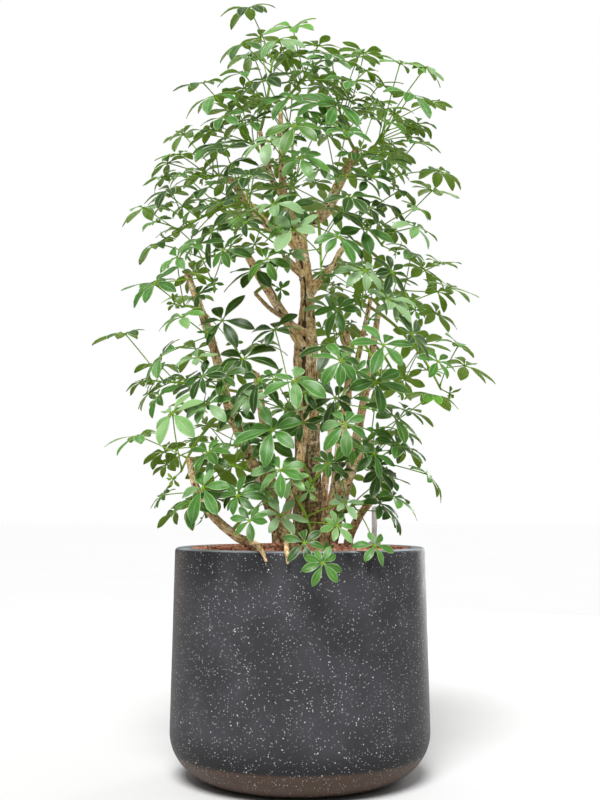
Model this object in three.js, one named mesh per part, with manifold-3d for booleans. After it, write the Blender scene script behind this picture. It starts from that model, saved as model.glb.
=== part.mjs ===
// Potted umbrella plant (a dwarf schefflera) in a round, dark, speckled planter.
// Millimetres, +Z up. The origin is the middle of the planter's flat underside, and -Y is the front.
// The planter holds a bed of clay granules. Several woody stems stand in the bed, and leafy green
// shoots grow from them. Each leaf is a rosette of leaflets on a long stalk. A water gauge stands
// in the bed at the back right.
import * as THREE from "three";
import { mergeVertices } from "three/addons/utils/BufferGeometryUtils.js";
import Module from "manifold-3d";

const wasm = await Module();
wasm.setup();

// Planter
const RIM_RADIUS = 241;
const RIM_HEIGHT = 434;
const RIM_ROUND = 7;
const LIP_WIDTH = 27;
const LIP_DEPTH = 34;
const BELLY_RADIUS = 248;
const BELLY_HEIGHT = 90;
const FOOT_RADIUS = 151;
const WALL = 15;
const FLOOR_THICKNESS = 22;
const PLANTER_SIDES = 38;

// Granule bed
const BED_HEIGHT = RIM_HEIGHT - 5;
const BED_MOUND = 7;
const BED_RELIEF = 2.4;
const BED_SIDES = PLANTER_SIDES;
const SEAT_GAP = 0.35;

// Trunk
const TRUNK_RADIUS = 20;
const TRUNK_LOBE = 0.2;
const LOBE_TURN = 0.5;

// Water gauge
const GAUGE_PLACE = [152, 114];
const GAUGE_RADIUS = 5.5;
const GAUGE_WALL = 1.2;
const GAUGE_TOP = 513;
const GAUGE_FOOT = 382;
const COLLAR_RADIUS = 17;
const COLLAR_HEIGHT = 15;
const COLLAR_FOOT = BED_HEIGHT - 2;
const FLOAT_ROD_RADIUS = 1.4;
const FLOAT_HEAD_RADIUS = 3;
const FLOAT_HEAD_HEIGHT = 9;
const FLOAT_TOP = 460;

// Leaf solids
const LEAFLETS_DRAWN = 5;
const LEAFLETS_DRAWN_BACK = 4;
const BACK_DEPTH = 120;
const LEAFLET_HALF = 0.16;
const WIDEST = 0.6;
const NOTCH_RADIUS = 7;
const NOTCH_DEPTH = 0.6;
const HUB_TOP = 1.3;
const HUB_UNDER = 1.7;
const STALK_RADIUS = 1.6;
const STALK_TAPER = 0.5;
const STEM_RADIUS = [3.6, 2.4];
const LEAF_GAP = 0.35;

// Growth rules, in millimetres and degrees. A [least, spread] pair is for a seeded draw.
const AXIS = [10, 0];
const GOLDEN_ANGLE = 137.5;
const LEAF_LENGTH = 75;
const LEAF_SIZE = [0.86, 0.3];
const LEAFLET_COUNT = [6, 2.4];
const DROOP = [-22, 18];
const CURL = [24, 26];
const LEAST_UP = 0.1;
const BACK_REACH = 0.7;
const CROWN = { foot: 450, height: 1000 };
const LEAN = { foot: 26, top: 12, frontFoot: 32, frontTop: 20, atRim: 16 };
const RIM_ZONE = { top: 560, height: 90 };
const LOW_ZONE = { top: 620, height: 120 };
const LEAD_STALK = 78;
const STALK_LENGTH = [82, 34];
const STALK_LONGER = 24;
const LEAD_TRIES = 24;
const LEAF_TRIES = 34;
const TRUNK_WINDOW = { x: [-172, 48], z: [797, 1000], depth: 2249.5, eye: 513 };

// Clearances, in millimetres
const LEAF_CLEAR = 8;
const LEAF_TIGHT = 6;
const MARK_SIDE = 8;
const MARK_CELL = 10;
const MARK_SHARES = [0.25, 0.38, 0.5, 0.62, 0.74, 0.86, 1];
const SIDE_SHARES = [0.42, 0.56, 0.7, 0.82];
const WOOD_EASE = 2;
const PLANTER_CLEAR = [6, 4];

const DEGREE = Math.PI / 180;

// Woody stems: the centre line as points [x, y, z, radius], from the root end up.
// The routes of one node meet inside one another and grow together.
const WOOD = {
  trunk: {
    node: "trunk",
    points: [
      [13, 14, 323, 27], [14, 13, 433, 27], [15, 10, 500, 25], [15, 8, 600, 22], [13, 6, 700, 21.5],
      [12, 2, 811, 21.5], [13, -2, 862, 17], [14, -3, 908, 13.5], [13, -5, 952, 12.5],
      [5, -5, 998, 13.5], [-3, -4, 1047, 13.5],
    ],
  },
  upperLeft: {
    node: "trunk",
    points: [
      [0, -4, 1016, 11], [-25, -12, 1044, 10], [-62, -22, 1063, 9], [-101, -29, 1104, 8],
      [-139, -31, 1157, 6.5],
    ],
  },
  upperMiddle: {
    node: "trunk",
    points: [
      [-3, -4, 1031, 11], [-13, 4, 1084, 9.5], [-31, 10, 1127, 8.5], [-36, 12, 1180, 7],
      [-37, 14, 1239, 6], [-40, 16, 1315, 4.5],
    ],
  },
  upperFork: {
    node: "trunk",
    points: [
      [-29, 8, 1121, 7.5], [-52, 0, 1154, 7], [-68, -8, 1202, 6], [-80, -10, 1258, 4.5],
    ],
  },
  upperRight: {
    node: "trunk",
    points: [
      [-2, -5, 1042, 12.5], [17, -8, 1070, 12.5], [54, -8, 1097, 11], [73, -4, 1143, 10.5],
      [94, 0, 1184, 10], [113, 4, 1223, 8],
    ],
  },
  sideRight: {
    node: "trunk",
    points: [
      [21, -4, 931, 9], [41, -10, 961, 8], [66, -14, 987, 7], [83, -14, 1017, 6],
      [110, -10, 1034, 5],
    ],
  },
  sideLeft: {
    node: "trunk",
    points: [
      [6, -2, 824, 11], [-32, -14, 886, 10], [-61, -22, 933, 9.5], [-87, -31, 974, 8.5],
      [-101, -35, 998, 7.5],
    ],
  },
  stub: {
    node: "trunk",
    points: [
      [6, -6, 966, 9], [-12, -20, 981, 8.5], [-31, -31, 998, 8],
    ],
  },
  twig: {
    node: "trunk",
    points: [
      [21, -2, 849, 6], [0, -22, 859, 5], [-30, -35, 876, 4.5], [-59, -43, 895, 4.5],
      [-87, -51, 923, 4],
    ],
  },
  forkBase: {
    node: "front_fork_stem",
    points: [
      [-14, -153, 323, 12.5], [-20, -162, 433, 12.5], [-39, -145, 481, 11],
    ],
  },
  forkLeft: {
    node: "front_fork_stem",
    points: [
      [-33, -149, 467, 10], [-60, -129, 522, 10.5], [-94, -106, 606, 10], [-133, -90, 696, 9.5],
      [-158, -82, 791, 9], [-182, -76, 866, 8.5], [-217, -70, 958, 6],
    ],
  },
  forkRight: {
    node: "front_fork_stem",
    points: [
      [-33, -149, 469, 9], [-16, -125, 531, 8.5], [-2, -104, 587, 8], [7, -88, 641, 7.5],
      [13, -78, 698, 6],
    ],
  },
  forkRoot: {
    node: "front_fork_stem",
    points: [
      [-22, -162, 440, 6], [-24, -194, 447, 5.5], [-24, -232, 444, 5], [-22, -254, 428, 4],
      [-21, -254, 413, 2.5],
    ],
  },
  lowLeft: {
    node: "low_left_stem",
    points: [
      [-75, -149, 333, 9], [-81, -153, 433, 9], [-116, -164, 459, 8.5], [-161, -149, 499, 8],
      [-192, -129, 550, 7], [-206, -115, 601, 6],
    ],
  },
  lowLeftRoot: {
    node: "low_left_stem",
    points: [
      [-91, -157, 443, 6], [-85, -190, 447, 5.5], [-73, -226, 444, 5], [-63, -248, 430, 3.5],
      [-58, -251, 417, 2.5],
    ],
  },
  darkStem: {
    node: "dark_stem",
    points: [
      [36, 63, 322, 8], [39, 59, 433, 8], [48, 53, 534, 7.5], [57, 47, 626, 7], [68, 45, 698, 6],
    ],
  },
  rightFork: {
    node: "right_fork_stem",
    points: [
      [44, -67, 323, 10], [47, -65, 433, 10], [51, -61, 493, 9.5], [65, -53, 542, 9],
      [74, -37, 605, 9], [86, -14, 687, 8.5], [95, -4, 749, 8.5], [93, -2, 801, 8.5],
      [90, 0, 865, 8],
    ],
  },
  rightForkOut: {
    node: "right_fork_stem",
    points: [
      [51, -61, 491, 8.5], [84, -65, 546, 8], [106, -70, 591, 7.5], [129, -74, 638, 6],
    ],
  },
  rightForkBack: {
    node: "right_fork_stem",
    points: [
      [95, -4, 741, 6.5], [111, 14, 791, 6], [126, 31, 853, 5.5], [143, 45, 931, 4.5],
    ],
  },
  rightStub: {
    node: "right_cut_stem",
    points: [
      [91, 14, 333, 9], [93, 12, 433, 9], [106, 6, 475, 8.5], [126, 2, 508, 8], [145, 0, 532, 7.5],
    ],
  },
  backLeft: {
    node: "back_left_stem",
    points: [
      [-44, 98, 322, 11], [-46, 100, 433, 11], [-58, 121, 554, 10], [-76, 137, 687, 9],
      [-92, 146, 790, 7],
    ],
  },
  backRight: {
    node: "back_right_stem",
    points: [
      [63, 121, 322, 11], [67, 123, 433, 11], [98, 137, 564, 10], [129, 149, 708, 9],
      [155, 160, 853, 7.5], [168, 164, 936, 6],
    ],
  },
};

// Leafy shoots: the woody route each grows from, how far along it, the rosettes that lead it
// as [x, y, z], and how many more leaves it carries.
const SPRAYS = [
  {
    wood: "upperFork", at: 1.0, more: 0,
    leads: [[-103, 0, 1518], [-112, -31, 1430], [-79, 60, 1497]],
  },
  {
    wood: "upperMiddle", at: 1.0, more: 2,
    leads: [[-14, -51, 1454], [37, 35, 1453], [-79, 60, 1450], [-40, -130, 1397]],
  },
  {
    wood: "upperFork", at: 0.62, more: 1,
    leads: [[-196, 10, 1365], [-167, -75, 1307], [-140, 50, 1319], [-92, -100, 1246]],
  },
  {
    wood: "upperMiddle", at: 0.66, more: 2,
    leads: [[-65, -115, 1312], [-15, -153, 1275], [-112, -50, 1363], [0, 10, 1371]],
  },
  {
    wood: "upperRight", at: 0.98, more: 1,
    leads: [[63, -63, 1380], [118, 10, 1419], [101, -90, 1329], [137, 60, 1463], [161, 0, 1359]],
  },
  {
    wood: "upperRight", at: 0.82, more: 1,
    leads: [[263, 50, 1336], [203, -70, 1299], [197, -50, 1381], [242, 0, 1359]],
  },
  {
    wood: "upperMiddle", at: 0.36, more: 1,
    leads: [[-55, -176, 1184], [0, -200, 1136], [34, -110, 1231], [-18, -220, 1191]],
  },
  {
    wood: "upperRight", at: 0.62, more: 2,
    leads: [[84, -155, 1197], [136, -127, 1129], [51, -60, 1296]],
  },
  {
    wood: "upperRight", at: 0.72, more: 0,
    leads: [[223, -72, 1214], [284, 65, 1199], [162, -110, 1243]],
  },
  {
    wood: "upperLeft", at: 0.52, more: 1,
    leads: [[-92, -209, 1105], [-140, -153, 1175], [-166, -100, 1121], [-134, -40, 1174]],
  },
  {
    wood: "upperLeft", at: 1.0, more: 1,
    leads: [[-242, 0, 1213], [-189, -61, 1218], [-205, 60, 1204], [-233, 80, 1276]],
  },
  { wood: "upperLeft", at: 0.78, leads: [[-315, 27, 1112], [-246, -102, 1113]], more: 1 },
  { wood: "stub", at: 1.0, leads: [[-50, -237, 1048]], more: 1 },
  {
    wood: "upperRight", at: 0.3, more: 1,
    leads: [[68, -217, 994], [-5, -225, 1007], [76, -165, 1052]],
  },
  {
    wood: "upperRight", at: 0.46, more: 1,
    leads: [[266, 20, 1145], [219, -100, 1041], [180, -40, 1100], [136, -120, 1046]],
  },
  {
    wood: "sideLeft", at: 1.0, more: 0,
    leads: [[-263, -31, 1038], [-248, 51, 1074], [-194, -20, 1087]],
  },
  { wood: "forkLeft", at: 1.0, leads: [[-189, -190, 984]], more: 1 },
  { wood: "forkLeft", at: 0.86, leads: [[-292, -10, 951], [-240, -72, 960]], more: 0 },
  { wood: "forkLeft", at: 0.74, leads: [[-213, -172, 856], [-165, -118, 873]], more: 1 },
  { wood: "twig", at: 1.0, leads: [[-64, -104, 969]], more: 0 },
  { wood: "sideRight", at: 1.0, leads: [[289, -60, 931], [222, -60, 1002]], more: 2 },
  {
    wood: "sideRight", at: 0.62, more: 0,
    leads: [[117, -200, 936], [162, -153, 891], [147, -120, 1006]],
  },
  { wood: "rightFork", at: 1.0, leads: [[144, -268, 791], [195, -194, 827]], more: 1 },
  {
    wood: "rightFork", at: 0.74, more: 1,
    leads: [[70, -286, 761], [39, -225, 703], [110, -226, 730]],
  },
  { wood: "rightForkBack", at: 0.9, leads: [[306, -40, 821], [334, 61, 795]], more: 1 },
  {
    wood: "forkRight", at: 1.0, more: 1,
    leads: [[-3, -294, 726], [-64, -256, 732], [-28, -230, 658], [-46, -150, 836]],
  },
  {
    wood: "forkLeft", at: 0.6, more: 0,
    leads: [[-165, -190, 695], [-136, -150, 802], [-162, -120, 750]],
  },
  {
    wood: "forkLeft", at: 0.5, more: 1,
    leads: [[-226, -209, 669], [-304, -90, 644], [-252, -50, 616]],
  },
  { wood: "backLeft", at: 0.86, leads: [[-349, 25, 855], [-289, 110, 801]], more: 1 },
  { wood: "rightForkOut", at: 1.0, leads: [[81, -260, 668], [254, -45, 726]], more: 0 },
  { wood: "rightForkOut", at: 0.66, leads: [[153, -155, 622], [178, -122, 679]], more: 1 },
  { wood: "forkRight", at: 0.55, leads: [[-33, -274, 574], [88, -236, 623]], more: 0 },
  {
    wood: "lowLeft", at: 1.0, more: 1,
    leads: [[-154, -231, 606], [-68, -200, 636], [-113, -150, 679]],
  },
  { wood: "lowLeft", at: 0.78, leads: [[-173, -190, 534], [-233, -80, 504]], more: 0 },
  { wood: "lowLeft", at: 0.44, leads: [[-85, -276, 488], [-111, -190, 541]], more: 0 },
  {
    wood: "forkRight", at: 0.28, more: 0,
    leads: [[8, -290, 451], [30, -300, 418], [52, -230, 471]],
  },
  {
    wood: "rightStub", at: 0.9, more: 1,
    leads: [[170, -60, 494], [160, -100, 565], [98, -215, 464]],
  },
  { wood: "backRight", at: 1.0, leads: [[204, 241, 1009], [123, 286, 1052]], more: 2 },
  {
    wood: "upperRight", at: 0.9, more: 1,
    leads: [[183, 194, 1255], [92, 215, 1358], [166, 200, 1389]],
  },
  {
    wood: "upperMiddle", at: 0.52, more: 2,
    leads: [[-55, 225, 1265], [20, 256, 1167], [-17, 200, 1342]],
  },
  { wood: "upperLeft", at: 0.36, leads: [[-209, 184, 1170], [-137, 245, 1169]], more: 1 },
  { wood: "backLeft", at: 1.0, leads: [[-237, 245, 967], [-85, 297, 871]], more: 1 },
  { wood: "backLeft", at: 0.62, leads: [[-236, 215, 729], [-140, 297, 687]], more: 2 },
  { wood: "backRight", at: 0.8, leads: [[260, 184, 855], [205, 266, 802]], more: 0 },
  { wood: "backRight", at: 0.52, leads: [[208, 194, 674], [133, 297, 656]], more: 1 },
  { wood: "darkStem", at: 1.0, leads: [[56, 297, 810], [-22, 307, 731]], more: 1 },
  { wood: "rightForkBack", at: 0.25, leads: [[71, 70, 946], [102, 62, 893]], more: 2 },
];

// Vectors as arrays
const add = (a, b) => a.map((v, i) => v + b[i]);
const sub = (a, b) => a.map((v, i) => v - b[i]);
const scale = (a, k) => a.map((v) => v * k);
const dot = (a, b) => a[0] * b[0] + a[1] * b[1] + a[2] * b[2];
const length = (a) => Math.sqrt(dot(a, a));
const unit = (a) => scale(a, 1 / length(a));
const cross = (a, b) => [a[1] * b[2] - a[2] * b[1], a[2] * b[0] - a[0] * b[2], a[0] * b[1] - a[1] * b[0]];
const mix = (a, b, t) => a.map((v, i) => v + (b[i] - v) * t);
const clamp = (v, low, high) => Math.min(Math.max(v, low), high);
const UP = [0, 0, 1];

// A seeded source of numbers from 0 to 1.
function seeded(seed) {
  let state = seed >>> 0;
  return () => {
    state = (Math.imul(state, 1664525) + 1013904223) >>> 0;
    return state / 4294967296;
  };
}

// A point [x, y, z, radius] at share t of a woody route, on a smooth curve through its points.
function alongWood(route, t) {
  const points = route.points;
  const last = points.length - 1;
  const place = clamp(t, 0, 1) * last;
  const i = Math.min(Math.floor(place), last - 1);
  const u = place - i;
  const before = points[Math.max(i - 1, 0)];
  const after = points[Math.min(i + 2, last)];
  return points[i].map((b, k) => {
    const c = points[i + 1][k];
    const a = before[k];
    const d = after[k];
    const square = 2 * a - 5 * b + 4 * c - d;
    const cube = 3 * b - a - 3 * c + d;
    return 0.5 * (2 * b + (c - a) * u + square * u * u + cube * u * u * u);
  });
}

// A point at share t of a shoot's bent stem.
function alongStem({ start, bend, tip }, t) {
  return start.map((v, i) => (1 - t) * (1 - t) * v + 2 * (1 - t) * t * bend[i] + t * t * tip[i]);
}

// The level direction from the plant's axis to a point.
function outwardFrom(point) {
  const flat = [point[0] - AXIS[0], point[1] - AXIS[1], 0];
  const far = length(flat);
  return far < 1 ? [0, -1, 0] : scale(flat, 1 / far);
}

// The green stem of a shoot, from inside the wood to just under its leading rosettes. It rises and
// leans out, and near the planter it arches over the rim.
function stemOf(spray) {
  const start = alongWood(WOOD[spray.wood], spray.at).slice(0, 3);
  const middle = scale(spray.leads.reduce(add), 1 / spray.leads.length);
  const stalk = Math.min(LEAD_STALK, length(sub(middle, start)) * 0.6);
  const low = clamp((LOW_ZONE.top - middle[2]) / LOW_ZONE.height, 0, 1);
  const lean = unit(add(scale(outwardFrom(middle), 0.55 + 0.3 * low), scale(UP, 0.85 - 0.9 * low)));
  const tip = sub(middle, scale(lean, stalk));
  const run = sub(tip, start);
  const arch = Math.max(run[2] * 0.32, run[2] + 14 - 0.5 * Math.max(run[2], 0));
  const rise = run[2] > 60 ? run[2] * 0.32 : arch;
  return { start, bend: add(start, [run[0] * 0.62, run[1] * 0.62, rise]), tip };
}

// A leaf: its stalk from base to hub, the rosette's facing and forward directions, and its leaflets.
// A rosette faces up and out, more so at the front and near the rim.
function leafAt(base, hub, tilt, random) {
  const draw = ([least, spread]) => least + spread * random();
  const stalk = unit(sub(hub, base));
  const outward = unit(add(outwardFrom(hub), scale([stalk[0], stalk[1], 0], 0.5)));
  const height = clamp((hub[2] - CROWN.foot) / CROWN.height, 0, 1);
  const low = clamp((RIM_ZONE.top - hub[2]) / RIM_ZONE.height, 0, 1);
  const front = Math.max(-outward[1], 0);
  const side = LEAN.foot + (LEAN.top - LEAN.foot) * height;
  const extra = LEAN.frontFoot + (LEAN.frontTop - LEAN.frontFoot) * height + LEAN.atRim * low;
  const lean = (side + extra * front + tilt) * DEGREE;
  const open = add(scale(UP, Math.cos(lean)), scale(outward, Math.sin(lean)));
  const along = dot(open, stalk);
  const facing = unit(along < 0.45 ? add(open, scale(stalk, 0.6 - along)) : open);
  const ahead = unit(sub(stalk, scale(facing, dot(stalk, facing) - 0.001)));
  const size = LEAF_LENGTH * draw(LEAF_SIZE);
  const count = Math.floor(draw(LEAFLET_COUNT));
  const droop = draw(DROOP);
  const curl = draw(CURL);
  return { base, hub, facing, ahead, side: cross(facing, ahead), size, count, droop, curl };
}

// A point of a leaflet that points along angle turn, at share s of its length and w mm to its side.
function leafletPoint(leaf, turn, s, w) {
  const out = add(scale(leaf.ahead, Math.cos(turn)), scale(leaf.side, Math.sin(turn)));
  const across = cross(leaf.facing, out);
  const reach = leaf.size * (BACK_REACH + (1 - BACK_REACH) * Math.cos(turn / 2) ** 2);
  const a = leaf.droop * DEGREE;
  const b = leaf.curl * DEGREE;
  const run = (Math.sin(a + b * s) - Math.sin(a)) / b;
  const fall = (Math.cos(a) - Math.cos(a + b * s)) / b;
  const drop = add(scale(leaf.facing, -reach * fall), scale(across, w));
  return add(leaf.hub, add(scale(out, reach * run), drop));
}

// The angle of a leaflet round the hub, from straight ahead.
const turnOf = (leaflet, count) => ((leaflet + 0.5) * 360 / count - 180) * DEGREE;

// Marks of a leaf, used to keep leaves clear of one another.
function marksOf(leaf) {
  const blade = [];
  for (let j = 0; j < leaf.count; j += 1) {
    const turn = turnOf(j, leaf.count);
    for (const s of MARK_SHARES) blade.push(leafletPoint(leaf, turn, s, 0));
    for (const s of SIDE_SHARES) {
      blade.push(leafletPoint(leaf, turn, s, MARK_SIDE));
      blade.push(leafletPoint(leaf, turn, s, -MARK_SIDE));
    }
  }
  const stalk = [];
  const steps = Math.ceil(length(sub(leaf.hub, leaf.base)) / 8);
  for (let i = 2; i <= steps; i += 1) stalk.push(mix(leaf.base, leaf.hub, i / steps));
  return { blade, stalk };
}

// Marks sorted into cubes, so that only near ones are compared.
class MarkGrid {
  constructor() {
    this.cells = new Map();
  }

  put(point, owner, kind) {
    const key = point.map((v) => Math.floor(v / MARK_CELL)).join();
    if (!this.cells.has(key)) this.cells.set(key, []);
    this.cells.get(key).push({ point, owner, kind });
  }

  // The least distance from a point to a mark, up to one cube's side. A shoot's own stem doesn't
  // count, and neither do its own stalks for a stalk.
  least(point, owner, kind) {
    const [i, j, k] = point.map((v) => Math.floor(v / MARK_CELL));
    let least = MARK_CELL;
    for (let a = i - 1; a <= i + 1; a += 1)
      for (let b = j - 1; b <= j + 1; b += 1)
        for (let c = k - 1; c <= k + 1; c += 1)
          for (const mark of this.cells.get([a, b, c].join()) ?? []) {
            const own = mark.owner === owner;
            const joined = own && (mark.kind === "stem" || (mark.kind === "stalk" && kind === "stalk"));
            if (!joined) least = Math.min(least, length(sub(mark.point, point)));
          }
    return least;
  }
}

// How clear a leaf's marks are of wood and of what stands in the grid.
function clearance(marks, grid, woodMarks, owner) {
  let least = MARK_CELL;
  for (const kind of ["stalk", "blade"])
    for (const point of marks[kind]) {
      least = Math.min(least, grid.least(point, owner, kind));
      for (const mark of woodMarks) least = Math.min(least, length(sub(mark.point, point)) - mark.radius);
      if (least < LEAF_TIGHT) return least;
    }
  return least;
}

// Whether a rosette would hide the bare stretch of the trunk from the front.
function hidesTrunk(hub) {
  const { x, z, depth, eye } = TRUNK_WINDOW;
  const nearer = depth / (depth + hub[1]);
  const seenX = hub[0] * nearer;
  const seenZ = eye + (hub[2] - eye) * nearer;
  return seenX > x[0] && seenX < x[1] && seenZ > z[0] && seenZ < z[1];
}

// Whether a point is in the planter or too near it.
function inPlanter(point) {
  const low = point[2] < RIM_HEIGHT + PLANTER_CLEAR[0];
  return low && Math.hypot(point[0], point[1]) < BELLY_RADIUS + PLANTER_CLEAR[1];
}

// Places for a shoot's leading rosette k: the one that is stated, then others round it.
function leadTries(spray, k) {
  const base = alongStem(spray.stem, 0.98 - 0.14 * k);
  return Array.from({ length: LEAD_TRIES }, (_, n) => {
    const random = seeded(1000 + spray.owner * 40 + k * 7);
    const far = n === 0 ? 0 : 8 + 1.2 * n;
    const shift = [far * Math.cos(n * 2.4), far * Math.sin(n * 2.4), 0.6 * far * ((n % 3) - 1)];
    const tilt = 14 * (random() - 0.5) + 6 * ((n % 4) - 1);
    return leafAt(base, add(spray.leads[k], shift), tilt, random);
  });
}

// Places for leaf k further down a shoot: a golden angle on from the last, then turned or further out.
function leafTries(spray, k) {
  const t = 0.84 - (0.5 * (k + 0.4)) / spray.more;
  const base = alongStem(spray.stem, t);
  const way = unit(sub(alongStem(spray.stem, t + 0.05), base));
  const across = unit(cross(way, [0.3, 0.1, 1]));
  const other = cross(way, across);
  const tries = [];
  for (let n = 0; n < LEAF_TRIES; n += 1) {
    const random = seeded(9000 + spray.owner * 60 + k * 11);
    const swing = (n % 2 ? 22 : -22) * Math.ceil((n % (LEAF_TRIES / 2)) / 2);
    const turn = (360 * random() + k * GOLDEN_ANGLE + swing) * DEGREE;
    const around = add(scale(across, Math.cos(turn)), scale(other, Math.sin(turn)));
    const lift = add(scale(UP, 0.42), scale(outwardFrom(base), 0.3));
    const out = unit(add(add(scale(around, 0.9), scale(way, 0.3)), lift));
    const longer = n >= LEAF_TRIES / 2 ? STALK_LONGER : 0;
    const hub = add(base, scale(out, STALK_LENGTH[0] + STALK_LENGTH[1] * random() + longer));
    if (!hidesTrunk(hub)) tries.push(leafAt(base, hub, 20 * (random() - 0.5), random));
  }
  return tries;
}

// The whole plant: every shoot's stem and leaves, each leaf set where it is clear of the others.
function growPlant() {
  const grid = new MarkGrid();
  const woodMarks = Object.values(WOOD).flatMap((route) => {
    const steps = 6 * (route.points.length - 1);
    return Array.from({ length: steps + 1 }, (_, i) => {
      const p = alongWood(route, i / steps);
      return { point: p.slice(0, 3), radius: p[3] - WOOD_EASE };
    });
  });
  const sprays = SPRAYS.map((spray, owner) => ({ ...spray, owner, stem: stemOf(spray), leaves: [] }));
  for (const { stem, owner } of sprays)
    for (let i = 2; i <= 16; i += 1) grid.put(alongStem(stem, i / 16), owner, "stem");
  const place = (spray, tries) => {
    let best = null;
    for (const leaf of tries) {
      const marks = marksOf(leaf);
      if ([...marks.blade, ...marks.stalk].some(inPlanter) || leaf.facing[2] < LEAST_UP) continue;
      const clear = clearance(marks, grid, woodMarks, spray.owner);
      if (!best || clear > best.clear) best = { leaf, marks, clear };
      if (clear >= LEAF_CLEAR) break;
    }
    if (!best || best.clear < LEAF_TIGHT) return;
    for (const kind of ["blade", "stalk"])
      for (const point of best.marks[kind]) grid.put(point, spray.owner, kind);
    spray.leaves.push(best.leaf);
  };
  for (const spray of sprays) spray.leads.forEach((_, k) => place(spray, leadTries(spray, k)));
  for (const spray of sprays)
    for (let k = 0; k < spray.more; k += 1) place(spray, leafTries(spray, k));
  return sprays;
}

// A solid from points and triangles, whose faces point out.
function solid(points, triangles) {
  const made = new wasm.Manifold(
    new wasm.Mesh({
      numProp: 3,
      vertProperties: new Float32Array(points.flat()),
      triVerts: new Uint32Array(triangles.flat()),
    }),
  );
  if (made.volume() < 0) return solid(points, triangles.map(([a, b, c]) => [a, c, b]));
  return made;
}

// A solid from a closed three.js geometry.
function solidFrom(geometry) {
  const bare = geometry.clone();
  bare.deleteAttribute("normal");
  bare.deleteAttribute("uv");
  const merged = mergeVertices(bare, 1e-3);
  return new wasm.Manifold(
    new wasm.Mesh({
      numProp: 3,
      vertProperties: merged.attributes.position.array,
      triVerts: new Uint32Array(merged.index.array),
    }),
  );
}

// A tapering tube through rings [x, y, z, radius], with flat ends. Its section has two lobes that
// stand out by the share lobe and turn as it rises.
function tube(rings, sides, lobe = 0) {
  const points = [];
  const triangles = [];
  let normal = null;
  rings.forEach((ring, i) => {
    const before = rings[Math.max(i - 1, 0)].slice(0, 3);
    const after = rings[Math.min(i + 1, rings.length - 1)].slice(0, 3);
    const dir = unit(sub(after, before));
    const guide = normal ?? (Math.abs(dir[2]) < 0.9 ? UP : [1, 0, 0]);
    normal = unit(sub(guide, scale(dir, dot(guide, dir))));
    const other = cross(dir, normal);
    for (let k = 0; k < sides; k += 1) {
      const angle = (k / sides) * 2 * Math.PI;
      const out = add(scale(normal, Math.cos(angle)), scale(other, Math.sin(angle)));
      const bulge = 1 + lobe * Math.cos(2 * angle + LOBE_TURN * i);
      points.push(add(ring.slice(0, 3), scale(out, ring[3] * bulge)));
    }
  });
  for (let i = 0; i < rings.length - 1; i += 1)
    for (let k = 0; k < sides; k += 1) {
      const a = i * sides + k;
      const b = i * sides + ((k + 1) % sides);
      triangles.push([a, b, b + sides], [a, b + sides, a + sides]);
    }
  const end = (rings.length - 1) * sides;
  for (let k = 1; k < sides - 1; k += 1) triangles.push([0, k + 1, k], [end, end + k, end + k + 1]);
  return solid(points, triangles);
}

// A ring moved away from its neighbour by a distance.
function stretch(ring, neighbour, distance) {
  const way = unit(sub(ring.slice(0, 3), neighbour.slice(0, 3)));
  return [...add(ring.slice(0, 3), scale(way, distance)), ring[3]];
}

// A woody route as a solid, thicker and longer by extra.
function woodTube(route, extra) {
  const steps = Math.max(route.points.length - 1, 3);
  const rings = Array.from({ length: steps + 1 }, (_, i) => {
    const p = alongWood(route, i / steps);
    return [p[0], p[1], p[2], p[3] + extra];
  });
  rings[0] = stretch(rings[0], rings[1], extra);
  rings[steps] = stretch(rings[steps], rings[steps - 1], extra);
  const thick = route.points[0][3];
  if (thick > TRUNK_RADIUS) return tube(rings, 10, TRUNK_LOBE);
  return tube(rings, thick > 8 ? 7 : 5);
}

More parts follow.
